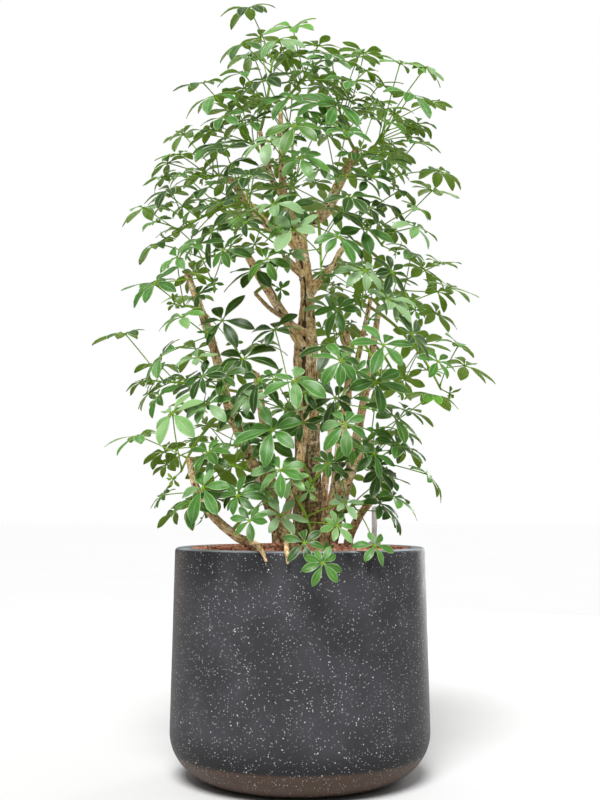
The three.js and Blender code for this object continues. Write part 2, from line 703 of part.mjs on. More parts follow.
// One leaf as a closed solid: a star of arched leaflets that are cut to the hub, on a three-sided stalk.
// Each leaflet is folded along its rib. Its two faces part by HUB_TOP and HUB_UNDER at the hub.
function leafSolid(leaf, turns) {
  const { hub, facing, base } = leaf;
  const points = [add(hub, scale(facing, HUB_TOP))];
  const triangles = [];
  const put = (p) => points.push(p) - 1;
  const onBlade = (turn, radius, z) => {
    const out = add(scale(leaf.ahead, Math.cos(turn)), scale(leaf.side, Math.sin(turn)));
    return add(hub, add(scale(out, radius), scale(facing, z)));
  };
  // Ring of the stalk's top under the hub, and its foot in the stem
  const under = [];
  const foot = [];
  for (let k = 0; k < 3; k += 1) {
    const corner = onBlade((k * 120 - 180) * DEGREE, STALK_RADIUS, -HUB_UNDER);
    under.push(put(corner));
    const fromAxis = sub(corner, add(hub, scale(facing, -HUB_UNDER)));
    foot.push(put(add(base, scale(fromAxis, STALK_TAPER))));
  }
  // Outline of the star
  const rim = [];
  turns.forEach((turn, j) => {
    const before = j === 0 ? turns[turns.length - 1] - 2 * Math.PI : turns[j - 1];
    const notchTurn = (turn + before) / 2;
    const half = leaf.size * LEAFLET_HALF;
    rim.push({ turn: notchTurn, at: put(onBlade(notchTurn, NOTCH_RADIUS, -NOTCH_DEPTH)) });
    rim.push({ turn: turn - 0.1, at: put(leafletPoint(leaf, turn, WIDEST, -half)) });
    rim.push({ turn, at: put(leafletPoint(leaf, turn, 1, 0)) });
    rim.push({ turn: turn + 0.1, at: put(leafletPoint(leaf, turn, WIDEST, half)) });
  });
  // Upper face from the hub, and lower face from the nearest corner of the stalk's ring
  const cornerOf = (turn) => Math.round((turn / DEGREE + 180) / 120) + 3;
  const leafletCorner = rim.map((mark, i) => cornerOf(i % 4 === 0 ? mark.turn : rim[i - (i % 4) + 2].turn));
  rim.forEach((mark, i) => {
    const wraps = i === rim.length - 1;
    const next = rim[wraps ? 0 : i + 1];
    const from = leafletCorner[i];
    const to = leafletCorner[wraps ? 0 : i + 1] + (wraps ? 3 : 0);
    triangles.push([0, mark.at, next.at], [under[from % 3], next.at, mark.at]);
    for (let c = from; c < to; c += 1) triangles.push([under[c % 3], under[(c + 1) % 3], next.at]);
  });
  for (let k = 0; k < 3; k += 1) {
    const next = (k + 1) % 3;
    triangles.push([under[k], foot[k], foot[next]], [under[k], foot[next], under[next]]);
  }
  triangles.push([foot[0], foot[2], foot[1]]);
  return solid(points, triangles);
}

const boxesNear = (a, b, gap) =>
  [0, 1, 2].every((i) => a.min[i] - gap < b.max[i] && b.min[i] - gap < a.max[i]);

function tooClose(a, b) {
  if (!boxesNear(a.boundingBox(), b.boundingBox(), LEAF_GAP)) return false;
  return a.minGap(b, LEAF_GAP) < LEAF_GAP - 0.01;
}

function largestPiece(made) {
  return made.decompose().sort((a, b) => b.volume() - a.volume())[0];
}

// Lathe profiles, from the axis at the foot round to the axis at the top.
function lathe(profile, sides) {
  const outline = profile.map(([r, z]) => new THREE.Vector2(r, z));
  return new THREE.LatheGeometry(outline, sides).rotateX(Math.PI / 2);
}

const arc = (cx, cz, rx, rz, from, to, steps) =>
  Array.from({ length: steps + 1 }, (_, i) => {
    const angle = (from + ((to - from) * i) / steps) * DEGREE;
    return [cx + rx * Math.cos(angle), cz + rz * Math.sin(angle)];
  });

// The planter's cavity, offset inwards by gap, from the floor's middle up to its mouth.
function cavity(gap) {
  return [
    [0, FLOOR_THICKNESS + gap],
    [FOOT_RADIUS + 10, FLOOR_THICKNESS + gap],
    [BELLY_RADIUS - WALL - gap, BELLY_HEIGHT + gap],
    [RIM_RADIUS - WALL - gap, RIM_HEIGHT - LIP_DEPTH - 12],
    [RIM_RADIUS - LIP_WIDTH - gap, RIM_HEIGHT - LIP_DEPTH],
  ];
}

function planterShape() {
  const outside = [
    [0, 0],
    ...arc(FOOT_RADIUS, BELLY_HEIGHT, BELLY_RADIUS - FOOT_RADIUS, BELLY_HEIGHT, -90, 0, 6),
    ...arc(RIM_RADIUS - RIM_ROUND, RIM_HEIGHT - RIM_ROUND, RIM_ROUND, RIM_ROUND, 3, 90, 2),
    [RIM_RADIUS - LIP_WIDTH + 2, RIM_HEIGHT],
    [RIM_RADIUS - LIP_WIDTH, RIM_HEIGHT - 2],
  ];
  return lathe([...outside, ...cavity(0).reverse()], PLANTER_SIDES);
}

// The bed's top, which is raised in granule-like bumps by a formula.
function bedTop(x, y) {
  const far = Math.hypot(x, y) / (RIM_RADIUS - LIP_WIDTH);
  const across = Math.sin(x * 0.37 + 1.7 * Math.sin(y * 0.23));
  const bumps = across * Math.cos(y * 0.41 + 1.3 * Math.sin(x * 0.19));
  return BED_HEIGHT + BED_MOUND * (1 - far * far) + BED_RELIEF * bumps * (far < 0.97 ? 1 : 0.2);
}

function bedShape() {
  const edge = RIM_RADIUS - LIP_WIDTH - SEAT_GAP;
  const rings = [1, 0.82, 0.56, 0.26];
  const top = rings.map((share) => [edge * share, BED_HEIGHT]);
  const shape = lathe([...cavity(SEAT_GAP), ...top, [0, BED_HEIGHT]], BED_SIDES);
  const position = shape.attributes.position;
  for (let i = 0; i < position.count; i += 1)
    if (Math.abs(position.getZ(i) - BED_HEIGHT) < 0.01)
      position.setZ(i, bedTop(position.getX(i), position.getY(i)));
  return shape;
}

// A lathe solid that stands at the gauge's place.
const atGauge = (profile, sides) => solidFrom(lathe(profile, sides).translate(...GAUGE_PLACE, 0));

function gaugeTube() {
  const inside = GAUGE_RADIUS - GAUGE_WALL;
  const profile = [
    [inside, GAUGE_FOOT],
    [GAUGE_RADIUS, GAUGE_FOOT],
    [GAUGE_RADIUS, GAUGE_TOP - 2],
    [GAUGE_RADIUS - 2, GAUGE_TOP],
    [0, GAUGE_TOP],
    [0, GAUGE_TOP - GAUGE_WALL],
    [inside, GAUGE_TOP - GAUGE_WALL],
    [inside, GAUGE_FOOT],
  ];
  return atGauge(profile, 8);
}

function gaugeCollar() {
  const hole = GAUGE_RADIUS + SEAT_GAP;
  const dome = arc(hole + 1, COLLAR_FOOT, COLLAR_RADIUS - hole - 1, COLLAR_HEIGHT, 0, 84, 4);
  return atGauge([[hole, COLLAR_FOOT], ...dome, [hole, COLLAR_FOOT]], 14);
}

function gaugeFloat() {
  const neck = FLOAT_TOP - FLOAT_HEAD_HEIGHT;
  const profile = [
    [0, GAUGE_FOOT],
    [FLOAT_ROD_RADIUS, GAUGE_FOOT],
    [FLOAT_ROD_RADIUS, neck - 2],
    [FLOAT_HEAD_RADIUS, neck],
    [FLOAT_HEAD_RADIUS, FLOAT_TOP],
    [0, FLOAT_TOP],
  ];
  return atGauge(profile, 6);
}

// The room that the bed leaves for the gauge and its collar.
function gaugeHole() {
  const inner = GAUGE_RADIUS + SEAT_GAP;
  const outer = COLLAR_RADIUS + SEAT_GAP;
  const profile = [
    [0, GAUGE_FOOT - SEAT_GAP],
    [inner, GAUGE_FOOT - SEAT_GAP],
    [inner, COLLAR_FOOT - SEAT_GAP],
    [outer, COLLAR_FOOT - SEAT_GAP],
    [outer, GAUGE_TOP],
    [0, GAUGE_TOP],
  ];
  return atGauge(profile, 14);
}

const root = new THREE.Group();

function finish(color, roughness, metalness = 0) {
  return new THREE.MeshStandardMaterial({ color, roughness, metalness });
}

const FINISHES = {
  planter: finish(0x303236, 0.55),
  granules: finish(0x8a3f2c, 0.95),
  gaugeClear: finish(0xe8e6ea, 0.2),
  gaugeGrey: finish(0x9a98a2, 0.5),
  gaugeRed: finish(0xb3221c, 0.4),
  bark: finish(0x8b6a45, 0.9),
  leaf: finish(0x3f7d3c, 0.5),
};

function addSolid(name, made, material) {
  const mesh = made.getMesh();
  const geometry = new THREE.BufferGeometry();
  geometry.setAttribute("position", new THREE.BufferAttribute(new Float32Array(mesh.vertProperties), 3));
  geometry.setIndex(new THREE.BufferAttribute(new Uint32Array(mesh.triVerts), 1));
  geometry.computeVertexNormals();
  const node = new THREE.Mesh(geometry, material);
  node.name = name;
  root.add(node);
}

// Wood: each node's routes grown together, and the same a little thicker, to seat what touches it
const woodNodes = {};
for (const route of Object.values(WOOD)) (woodNodes[route.node] ??= []).push(route);
const wood = {};
const woodSeats = {};
for (const [name, routes] of Object.entries(woodNodes)) {
  wood[name] = wasm.Manifold.union(routes.map((route) => woodTube(route, 0)));
  woodSeats[name] = wasm.Manifold.union(routes.map((route) => woodTube(route, SEAT_GAP)));
}
const allSeats = wasm.Manifold.union(Object.values(woodSeats));

const planter = solidFrom(planterShape());
const gaugeParts = { gauge_tube: gaugeTube(), gauge_collar: gaugeCollar(), gauge_float: gaugeFloat() };
const bed = solidFrom(bedShape()).subtract(allSeats).subtract(gaugeHole());

addSolid("planter", planter, FINISHES.planter);
addSolid("granule_bed", largestPiece(bed), FINISHES.granules);
addSolid("gauge_tube", gaugeParts.gauge_tube, FINISHES.gaugeClear);
addSolid("gauge_collar", gaugeParts.gauge_collar, FINISHES.gaugeGrey);
addSolid("gauge_float", gaugeParts.gauge_float, FINISHES.gaugeRed);
for (const [name, made] of Object.entries(wood)) addSolid(name, made, FINISHES.bark);

// Shoots: the stems first, then each leaf, without the leaflets that would touch another shoot
const sprays = growPlant();
for (const spray of sprays) {
  const steps = 3;
  const rings = Array.from({ length: steps + 1 }, (_, i) => {
    const t = i / steps;
    return [...alongStem(spray.stem, t), STEM_RADIUS[0] + (STEM_RADIUS[1] - STEM_RADIUS[0]) * t];
  });
  spray.solids = [largestPiece(tube(rings, 4).subtract(allSeats))];
}
const others = [planter, bed, gaugeParts.gauge_tube, gaugeParts.gauge_collar, allSeats];

for (const spray of sprays)
  for (const leaf of spray.leaves) {
    const count = leaf.hub[1] > BACK_DEPTH ? LEAFLETS_DRAWN_BACK : LEAFLETS_DRAWN;
    const turns = Array.from({ length: count }, (_, j) => turnOf(j, count));
    const whole = leafSolid(leaf, turns);
    const neighbours = sprays.filter((one) => one !== spray).flatMap((one) => one.solids);
    const near = [...neighbours, ...others].filter((other) => tooClose(whole, other));
    const touches = (made) => near.some((other) => tooClose(made, other));
    const short = { ...leaf, base: mix(leaf.hub, leaf.base, 0.06) };
    const clearTurns = near.length ? turns.filter((turn) => !touches(leafSolid(short, [turn]))) : turns;
    const kept = clearTurns.length < 2 ? null : leafSolid(leaf, clearTurns);
    if (kept && !touches(kept)) spray.solids.push(kept);
  }

for (const spray of sprays) {
  const number = String(spray.owner + 1).padStart(2, "0");
  addSolid(`leafy_shoot_${number}`, largestPiece(wasm.Manifold.union(spray.solids)), FINISHES.leaf);
}

export default root;
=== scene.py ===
"""Potted umbrella plant: a bushy dwarf schefflera in a round, dark, speckled planter.

Meshes are in metres, +Z up, with the front towards -Y. The growth of the shoots is worked out in
millimetres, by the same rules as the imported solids, so each fine leaf has its stalk and its hub where
its solid has them.
"""
import logging
import math
from collections.abc import Callable, Iterable
from dataclasses import dataclass, field, replace
from enum import Enum

import bmesh
import bpy
import numpy as np
from bpy.types import Material, Mesh
from mathutils import Euler, Matrix, Vector, kdtree, noise


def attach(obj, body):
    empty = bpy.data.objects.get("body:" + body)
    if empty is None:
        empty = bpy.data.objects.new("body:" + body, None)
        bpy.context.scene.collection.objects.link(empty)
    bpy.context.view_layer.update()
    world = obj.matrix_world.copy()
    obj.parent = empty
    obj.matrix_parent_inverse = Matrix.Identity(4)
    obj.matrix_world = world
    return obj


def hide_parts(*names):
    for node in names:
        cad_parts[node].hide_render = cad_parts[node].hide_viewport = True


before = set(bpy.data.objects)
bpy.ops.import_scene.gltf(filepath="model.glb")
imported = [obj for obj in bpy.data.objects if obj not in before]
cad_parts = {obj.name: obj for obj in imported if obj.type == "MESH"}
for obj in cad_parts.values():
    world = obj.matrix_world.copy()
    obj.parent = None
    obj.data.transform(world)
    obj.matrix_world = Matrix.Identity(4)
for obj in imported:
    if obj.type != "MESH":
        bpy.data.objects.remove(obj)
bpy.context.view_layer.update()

LOG = logging.getLogger("umbrella_plant")
MM = 0.001
BODY = "root"
UP = np.array([0.0, 0.0, 1.0])
FRONT = np.array([0.0, -1.0, 0.0])
WHITE = (1.0, 1.0, 1.0, 1.0)

Pair = tuple[float, float]
Point = tuple[float, float, float]
Colour = tuple[float, float, float, float]
Curve = tuple[np.ndarray, np.ndarray, np.ndarray]
Draw = Callable[[], float]


def linear(red: int, green: int, blue: int) -> Colour:
    """The colour that a shader socket takes for an 8-bit display colour, by the sRGB curve."""
    parts = [v / 255 for v in (red, green, blue)]
    return (*[v / 12.92 if v <= 0.04045 else ((v + 0.055) / 1.055) ** 2.4 for v in parts], 1.0)


class Value:
    """A shader socket that Python's operators work on, each by adding a Math node."""

    def __init__(self, graph: "Graph", socket: bpy.types.NodeSocket) -> None:
        """Wraps an output socket of a graph."""
        self.graph = graph
        self.socket = socket

    def maths(self, operation: str, *others: "Value | float") -> "Value":
        """The result of a Math node that starts with this value."""
        return self.graph.maths(operation, self, *others)

    def __add__(self, other: "Value | float") -> "Value":
        """This plus other."""
        return self.graph.maths("ADD", self, other)

    def __radd__(self, other: float) -> "Value":
        """Other plus this."""
        return self + other

    def __sub__(self, other: "Value | float") -> "Value":
        """This less other."""
        return self.graph.maths("SUBTRACT", self, other)

    def __rsub__(self, other: float) -> "Value":
        """Other less this."""
        return self.graph.maths("SUBTRACT", other, self)

    def __mul__(self, other: "Value | float") -> "Value":
        """This times other."""
        return self.graph.maths("MULTIPLY", self, other)

    def __rmul__(self, other: float) -> "Value":
        """Other times this."""
        return self * other

    def __abs__(self) -> "Value":
        """The size of this value, without its sign."""
        return self.graph.maths("ABSOLUTE", self)

    def ramp(self, low: float, high: float) -> "Value":
        """This value turned into a smooth step, 0 at low and 1 at high."""
        values = {"Value": self, "From Min": low, "From Max": high}
        return self.graph.value("MapRange", {"interpolation_type": "SMOOTHSTEP"}, values)


class Graph:
    """The nodes of one material, or of the surroundings."""

    def __init__(self, name: str, surroundings: bool = False) -> None:
        """Starts without a node.

        Args:
            name: The material's name, or that of the surroundings.
            surroundings: Whether the nodes are those of the surroundings.
        """
        self.owner = (bpy.data.worlds if surroundings else bpy.data.materials).new(name)
        self.owner.use_nodes = True
        self.tree = self.owner.node_tree
        self.tree.nodes.clear()

    def node(self, kind: str, settings: dict | None = None, values: dict | None = None) -> bpy.types.Node:
        """Adds a shader node.

        Args:
            kind: The node's type, without its ShaderNode prefix.
            settings: What is set on the node itself, before its sockets.
            values: What each socket, by name or number, takes: a Value or a constant.

        Returns:
            The new node.
        """
        made = self.tree.nodes.new(f"ShaderNode{kind}")
        for name, setting in (settings or {}).items():
            setattr(made, name, setting)
        for name, value in (values or {}).items():
            if isinstance(value, Value):
                self.tree.links.new(value.socket, made.inputs[name])
            else:
                made.inputs[name].default_value = value
        return made

    def value(self, kind: str, settings: dict | None = None, values: dict | None = None,
              output: str | int = 0) -> Value:
        """One output of a new node, as a Value."""
        return Value(self, self.node(kind, settings, values).outputs[output])

    def maths(self, operation: str, *parts: Value | float) -> Value:
        """The result of a Math node on one to three parts."""
        return self.value("Math", {"operation": operation}, dict(enumerate(parts)))

    def mix(self, factor: Value | float, low: Value | Colour, high: Value | Colour) -> Value:
        """A colour between two, from low at factor 0 to high at factor 1."""
        return self.value("Mix", {"data_type": "RGBA"}, {0: factor, 6: low, 7: high}, 2)

    def layered(self, colour: Value | Colour, *layers: tuple[Value, Value | Colour]) -> Value:
        """A colour with others laid over it in turn, each after the factor by which it covers."""
        for factor, cover in layers:
            colour = self.mix(factor, colour, cover)
        return colour

    def place(self) -> Value:
        """The point's place on the piece, in metres."""
        return self.value("TexCoord", output="Object")

    def attribute(self, name: str) -> Value:
        """A vector attribute of the mesh."""
        return self.value("Attribute", {"attribute_name": name}, output="Vector")

    def parts(self, vector: Value) -> tuple[Value, ...]:
        """The three parts of a vector or a colour."""
        split = self.node("SeparateXYZ", values={"Vector": vector})
        return tuple(Value(self, output) for output in split.outputs)

    def stretched(self, vector: Value, scale: Point) -> Value:
        """A vector with each part multiplied."""
        return self.value("VectorMath", {"operation": "MULTIPLY"}, {0: vector, 1: scale})

    def shifted(self, vector: Value, size: float, far: float) -> Value:
        """A vector moved up to that far by noise with patches of that size, which makes edges ragged."""
        drift = self.value("TexNoise", values={"Vector": vector, "Scale": 1 / size}, output="Color")
        values = {0: drift, 1: (2 * far,) * 3, 2: vector}
        return self.value("VectorMath", {"operation": "MULTIPLY_ADD"}, values)

    def noise(self, vector: Value, size: float, detail: float = 2.0) -> Value:
        """Cloudy noise from 0 to 1 whose patches are about that size, in the vector's units."""
        values = {"Vector": vector, "Scale": 1 / size, "Detail": detail, "Roughness": 0.55}
        return self.value("TexNoise", values=values)

    def bump(self, height: Value, distance: float) -> Value:
        """A normal that makes height show, where height 1 stands that far out in metres."""
        values = {"Height": height, "Distance": distance, "Strength": 1.0}
        return self.value("Bump", values=values, output="Normal")

    def surface(self, values: dict) -> Value:
        """A Principled surface with these socket values."""
        return self.value("BsdfPrincipled", values=values)

    def finished(self, surface: Value) -> Material:
        """The material, with that surface as its output."""
        self.node("OutputMaterial", values={"Surface": surface})
        return self.owner


@dataclass(frozen=True)
class Patches:
    """Cloudy patches in a finish, of a size in metres.

    A patch starts where the noise is low, and is full and of that strength where it is high.
    """

    size: float
    detail: float
    low: float
    high: float
    strength: float = 1.0

    def mask(self, graph: Graph, place: Value) -> Value:
        """How strongly the patches show at a place."""
        return graph.noise(place, self.size, self.detail).ramp(self.low, self.high) * self.strength


@dataclass(frozen=True)
class FleckLayer:
    """Flecks scattered in a planter's wall, at most one in each cell.

    Cells are that many metres apart, and a share of them hold a fleck. Size is the largest fleck's radius
    in metres. The smallest fleck's radius and the width of a soft edge are shares of it.
    """

    cell: float
    share: float
    size: float
    least: float = 0.4
    soft: float = 0.35

    def mask(self, graph: Graph, place: Value) -> Value:
        """Where this layer's flecks are.

        Args:
            graph: The material's nodes.
            place: The point's place, in metres.

        Returns:
            1 on a fleck and 0 off it.
        """
        cells = graph.node("TexVoronoi", values={"Vector": place, "Scale": 1 / self.cell, "Randomness": 1.0})
        chance, draw, _ = graph.parts(Value(graph, cells.outputs["Color"]))
        away = Value(graph, cells.outputs["Distance"]) * self.cell
        radius = (draw * (1 - self.least) + self.least) * self.size
        return chance.maths("LESS_THAN", self.share) * (radius - away).ramp(0.0, self.soft * self.size)


@dataclass(frozen=True)
class PlanterFinish:
    """Dark charcoal stone with white flecks and small dark pits. A painted shade darkens it towards its foot,
    a painted reflection of a brown floor makes the foot browner, and a painted reflection makes the lip's top
    paler.

    Lengths are in metres. The flecks go from the finest to the coarsest. Noise of the ragged pair's size
    and reach makes their edges ragged, and they show most in the thick patches.
    """

    body: Colour = linear(50, 50, 53)
    cloud: Colour = linear(63, 63, 67)
    # A painted reflection of a brown floor, on the foot.
    foot: Colour = linear(84, 67, 57)
    # A painted shade, which darkens the wall towards the foot.
    low: Colour = linear(26, 26, 28)
    # A painted reflection, paler grey on the lip's top.
    lip: Colour = linear(146, 152, 160)
    fleck: Colour = linear(236, 236, 232)
    pit: Colour = linear(12, 12, 13)
    # The foot's height and the soft edge of its painted reflection, and how far up the painted shade fades
    # out.
    foot_height: float = 0.058
    foot_edge: float = 0.009
    painted_shade_reach: float = 0.06
    # Where the lip's painted reflection starts, and its soft edge.
    lip_height: float = 0.4325
    lip_edge: float = 0.0015
    clouds: Patches = Patches(0.09, 3.0, 0.35, 0.68)
    thick: Patches = Patches(0.02, 2.0, 0.3, 0.62, 0.35)
    grain: float = 0.0016
    ragged: Pair = (0.004, 0.0003)
    relief: float = 0.0006
    flecks: tuple[FleckLayer, ...] = (
        FleckLayer(0.0034, 0.62, 0.0009), FleckLayer(0.006, 0.44, 0.0012), FleckLayer(0.013, 0.28, 0.0017),
    )
    pits: FleckLayer = FleckLayer(0.011, 0.4, 0.0017)
    specular: float = 0.18

    def light(self, graph: Graph, ragged: Value) -> Value:
        """Where any of the white flecks is. Each layer reads the wall turned over in its own way.

        Args:
            graph: The material's nodes.
            ragged: The place, with ragged edges.

        Returns:
            1 on a fleck and 0 off it.
        """
        flips = ((1.0, 1.0, 1.0), (1.0, -1.0, 1.0), (-1.0, 1.0, 1.0))
        fine, middle, coarse = [layer.mask(graph, graph.stretched(ragged, flip))
                                for layer, flip in zip(self.flecks, flips)]
        return fine.maths("MAXIMUM", middle).maths("MAXIMUM", coarse)

    def material(self) -> Material:
        """Builds the finish.

        Returns:
            Its material.
        """
        graph = Graph("speckled_stone")
        place = graph.place()
        height = graph.parts(place)[2]
        ragged = graph.shifted(place, *self.ragged)
        light = self.light(graph, ragged) * (self.thick.mask(graph, place) + (1 - self.thick.strength))
        pit = self.pits.mask(graph, graph.stretched(ragged, (-1.0, -1.0, 1.0)))
        cloud = self.clouds.mask(graph, place)
        grain = graph.noise(place, self.grain)
        colour = graph.layered(
            self.body, (cloud, self.cloud),
            # Painted shade: darker towards the foot.
            ((1.0 - height.ramp(self.foot_height, self.foot_height + self.painted_shade_reach)) * 0.7, self.low),
            # Painted reflection of a brown floor on the foot.
            (1.0 - height.ramp(self.foot_height - self.foot_edge, self.foot_height), self.foot),
            (grain.ramp(0.4, 0.75) * 0.3, self.pit), (light, self.fleck),
            # Painted reflection: the lip's top paler grey.
            (height.ramp(self.lip_height - self.lip_edge, self.lip_height) * 0.85, self.lip), (pit, self.pit),
        )
        relief = graph.bump(grain * 0.3 + cloud * 0.4 - pit, self.relief)
        values = {"Base Color": colour, "Roughness": 0.42 + cloud * 0.06 + grain * 0.14, "Normal": relief,
                  "Specular IOR Level": self.specular}
        return graph.finished(graph.surface(values))


@dataclass(frozen=True)
class GranuleFinish:
    """Fired clay granules, each of its own red-brown, with the pores' size and the relief in metres."""

    dark: Colour = linear(92, 40, 30)
    middle: Colour = linear(232, 150, 124)
    pale: Colour = linear(255, 214, 192)
    pores: float = 0.0009
    relief: float = 0.0006

    @classmethod
    def painted_gap_shade(cls) -> "GranuleFinish":
        """Painted shade: a dark finish for the bed under the granules, which stands in for the shade in the
        gaps between them.
        """
        return cls(linear(24, 10, 8), linear(40, 17, 12), linear(58, 26, 20))

    def material(self) -> Material:
        """Builds the finish.

        Returns:
            Its material.
        """
        graph = Graph("clay_granules")
        draw = graph.parts(graph.attribute("tone"))[0]
        pores = graph.noise(graph.place(), self.pores, 3.0)
        colour = graph.layered(self.dark, (draw.ramp(0.06, 0.32), self.middle),
                               (draw.ramp(0.68, 0.95), self.pale), (pores.ramp(0.5, 0.75) * 0.35, self.dark))
        values = {"Base Color": colour, "Roughness": 0.92, "Normal": graph.bump(pores, self.relief)}
        return graph.finished(graph.surface(values))


@dataclass(frozen=True)
class BarkFinish:
    """Tan bark with dark cracks, darker and mossy at the foot, and pale wood where it is cut.

    Lengths are in metres. The streaks are drawn out along the grain, and moss and rot are on old bark.
    """

    tan: Colour = linear(232, 198, 146)
    pale: Colour = linear(252, 234, 204)
    brown: Colour = linear(160, 118, 76)
    crack: Colour = linear(48, 30, 18)
    moss: Colour = linear(110, 98, 52)
    cut: Colour = linear(206, 176, 128)
    streaks: float = 0.0044
    stretch: Point = (1.0, 1.0, 0.36)
    blots: Patches = Patches(0.019, 3.0, 0.45, 0.68, 0.8)
    mottles: Patches = Patches(0.0058, 4.0, 0.5, 0.64, 0.8)
    specks: Patches = Patches(0.003, 3.0, 0.6, 0.7, 0.75)
    mossy: Patches = Patches(0.012, 4.0, 0.34, 0.54, 0.85)
    rot: Patches = Patches(0.0062, 4.0, 0.48, 0.58, 0.85)
    relief: float = 0.0011

    def material(self) -> Material:
        """Builds the finish.

        Returns:
            Its material.
        """
        graph = Graph("bark")
        place, grain = graph.place(), graph.attribute("grain")
        relief, age, cut = graph.parts(graph.attribute("tone"))
        streaks = graph.noise(graph.stretched(grain, self.stretch), self.streaks, 3.0)
        colour = graph.layered(
            self.brown, (streaks.ramp(0.3, 0.6), self.tan), (self.blots.mask(graph, grain), self.pale),
            (self.mottles.mask(graph, place), self.brown), (self.specks.mask(graph, place), self.crack),
            ((1.0 - relief.ramp(-0.75, -0.1)) * 0.92, self.crack),
            (age * self.mossy.mask(graph, place), self.moss), (age * self.rot.mask(graph, place), self.crack),
            (cut, self.cut),
        )
        height = streaks * 0.7 + graph.noise(place, 0.002) * 0.5
        values = {"Base Color": colour, "Roughness": 0.86, "Normal": graph.bump(height, self.relief)}
        return graph.finished(graph.surface(values))


@dataclass(frozen=True)
class FoliageFinish:
    """Leathery green leaflets with a paler rib and margin, on yellow-green stalks, and a painted silvery
    sheen on the palest leaflets.

    Glow is the light that shines through. The veins are waves, whose count and slant are in radians over
    a leaflet. The relief is in metres.
    """

    dark: Colour = linear(2, 40, 2)
    middle: Colour = linear(68, 124, 48)
    # A painted sheen: a silvery colour that stands in for the reflection of the bright surroundings.
    painted_sheen: Colour = linear(150, 182, 136)
    bright: Colour = linear(112, 180, 36)
    pale: Colour = linear(196, 216, 164)
    under: Colour = linear(148, 174, 62)
    stalk: Colour = linear(134, 172, 48)
    wood: Colour = linear(150, 128, 84)
    glow: Colour = linear(178, 214, 34)
    glow_share: float = 0.3
    vein_count: float = 62.0
    vein_slant: float = 11.0
    coat: float = 0.2
    coat_roughness: float = 0.34
    specular: float = 0.24
    relief: float = 0.0005

    def material(self) -> Material:
        """Builds the finish.

        Returns:
            Its material.
        """
        graph = Graph("foliage")
        across, along, under = graph.parts(graph.attribute("blade"))
        shade, fresh, woody = graph.parts(graph.attribute("tone"))
        off = abs(across)
        stalk = 1.0 - along.ramp(0.12, 0.17)
        rib = 1.0 - off.ramp(0.02, 0.1)
        margin = off.ramp(0.8, 0.97)
        waves = (along * self.vein_count - off * self.vein_slant).maths("SINE")
        veins = waves.ramp(0.55, 1.0) * off.ramp(0.05, 0.2)
        cloud = graph.noise(graph.place(), 0.02)
        tone = (shade + (cloud - 0.5) * 0.5).ramp(0.0, 1.0)
        colour = graph.layered(
            # The palest shades take the painted sheen.
            self.dark, (tone.ramp(0.0, 0.7), self.middle), (tone.ramp(0.6, 1.0) * 0.82, self.painted_sheen),
            (fresh, self.bright), (rib * 0.4 + margin * 0.6 + veins * 0.09, self.pale),
            (under * 0.72, self.under), (stalk, self.stalk), (woody, self.wood),
        )
        values = {"Base Color": colour, "Roughness": 0.32 + under * 0.25 + stalk * 0.1 + cloud * 0.1,
                  "Normal": graph.bump(veins * 0.3 - rib + cloud * 0.6, self.relief),
                  "Coat Weight": self.coat, "Coat Roughness": self.coat_roughness,
                  "Specular IOR Level": self.specular}
        leaf = graph.surface(values)
        through = graph.value("BsdfTranslucent", values={"Color": self.glow})
        return graph.finished(graph.value("MixShader", values={0: self.glow_share, 1: leaf, 2: through}))


class Plastic(Enum):
    """The water gauge's plastics, as (colour, roughness, share of light let through)."""

    CLEAR = (linear(252, 252, 254), 0.1, 0.35)
    GREY = (linear(196, 192, 206), 0.3, 0.0)
    RED = (linear(196, 28, 22), 0.35, 0.0)

    def material(self) -> Material:
        """Builds the plastic, with faint scuffs.

        Returns:
            Its material.
        """
        colour, roughness, through = self.value
        graph = Graph(f"{self.name.lower()}_plastic")
        scuffs = graph.noise(graph.place(), 0.004, 3.0)
        shade = graph.mix(scuffs.ramp(0.5, 0.8) * 0.25, colour, linear(150, 150, 152))
        values = {"Base Color": shade, "Roughness": roughness + scuffs * 0.15, "Transmission Weight": through}
        return graph.finished(graph.surface(values))


@dataclass(frozen=True)
class FloorFinish:
    """A plain pale studio floor, whose colour drifts to another in wide soft patches."""

    colour: Colour = linear(194, 194, 194)
    other: Colour = linear(191, 191, 191)

    def material(self) -> Material:
        """Builds the finish.

        Returns:
            Its material.
        """
        graph = Graph("studio_floor")
        shade = graph.mix(graph.noise(graph.place(), 0.8, 1.0), self.colour, self.other)
        return graph.finished(graph.surface({"Base Color": shade, "Roughness": 0.9}))


def linked(name: str, data: bpy.types.ID) -> bpy.types.Object:
    """A new object in the scene.

    Args:
        name: The object's name.
        data: Its mesh, light or camera.

    Returns:
        The object.
    """
    made = bpy.data.objects.new(name, data)
    bpy.context.scene.collection.objects.link(made)
    return made


def add_piece(name: str, mesh: Mesh, material: Material, slot: str,
              replaces: Iterable[str] = ()) -> None:
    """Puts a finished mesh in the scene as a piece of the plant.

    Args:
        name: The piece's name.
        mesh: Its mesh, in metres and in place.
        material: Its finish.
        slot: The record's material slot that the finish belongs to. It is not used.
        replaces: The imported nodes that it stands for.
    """
    piece = linked(name, mesh)
    mesh.materials.clear()
    mesh.materials.append(material)
    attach(piece, BODY)
    if replaces:
        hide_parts(*replaces)
    mesh.calc_loop_triangles()
    LOG.info("%s: %d triangles", name, len(mesh.loop_triangles))


def mesh_from(bm: bmesh.types.BMesh, name: str, smooth: bool = True) -> Mesh:
    """A mesh made from a bmesh, which is then freed.

    Args:
        bm: The bmesh.
        name: The mesh's name.
        smooth: Whether its faces are shaded smooth.

    Returns:
        The mesh.
    """
    for face in bm.faces:
        face.smooth = smooth
    mesh = bpy.data.meshes.new(name)
    bm.to_mesh(mesh)
    bm.free()
    return mesh


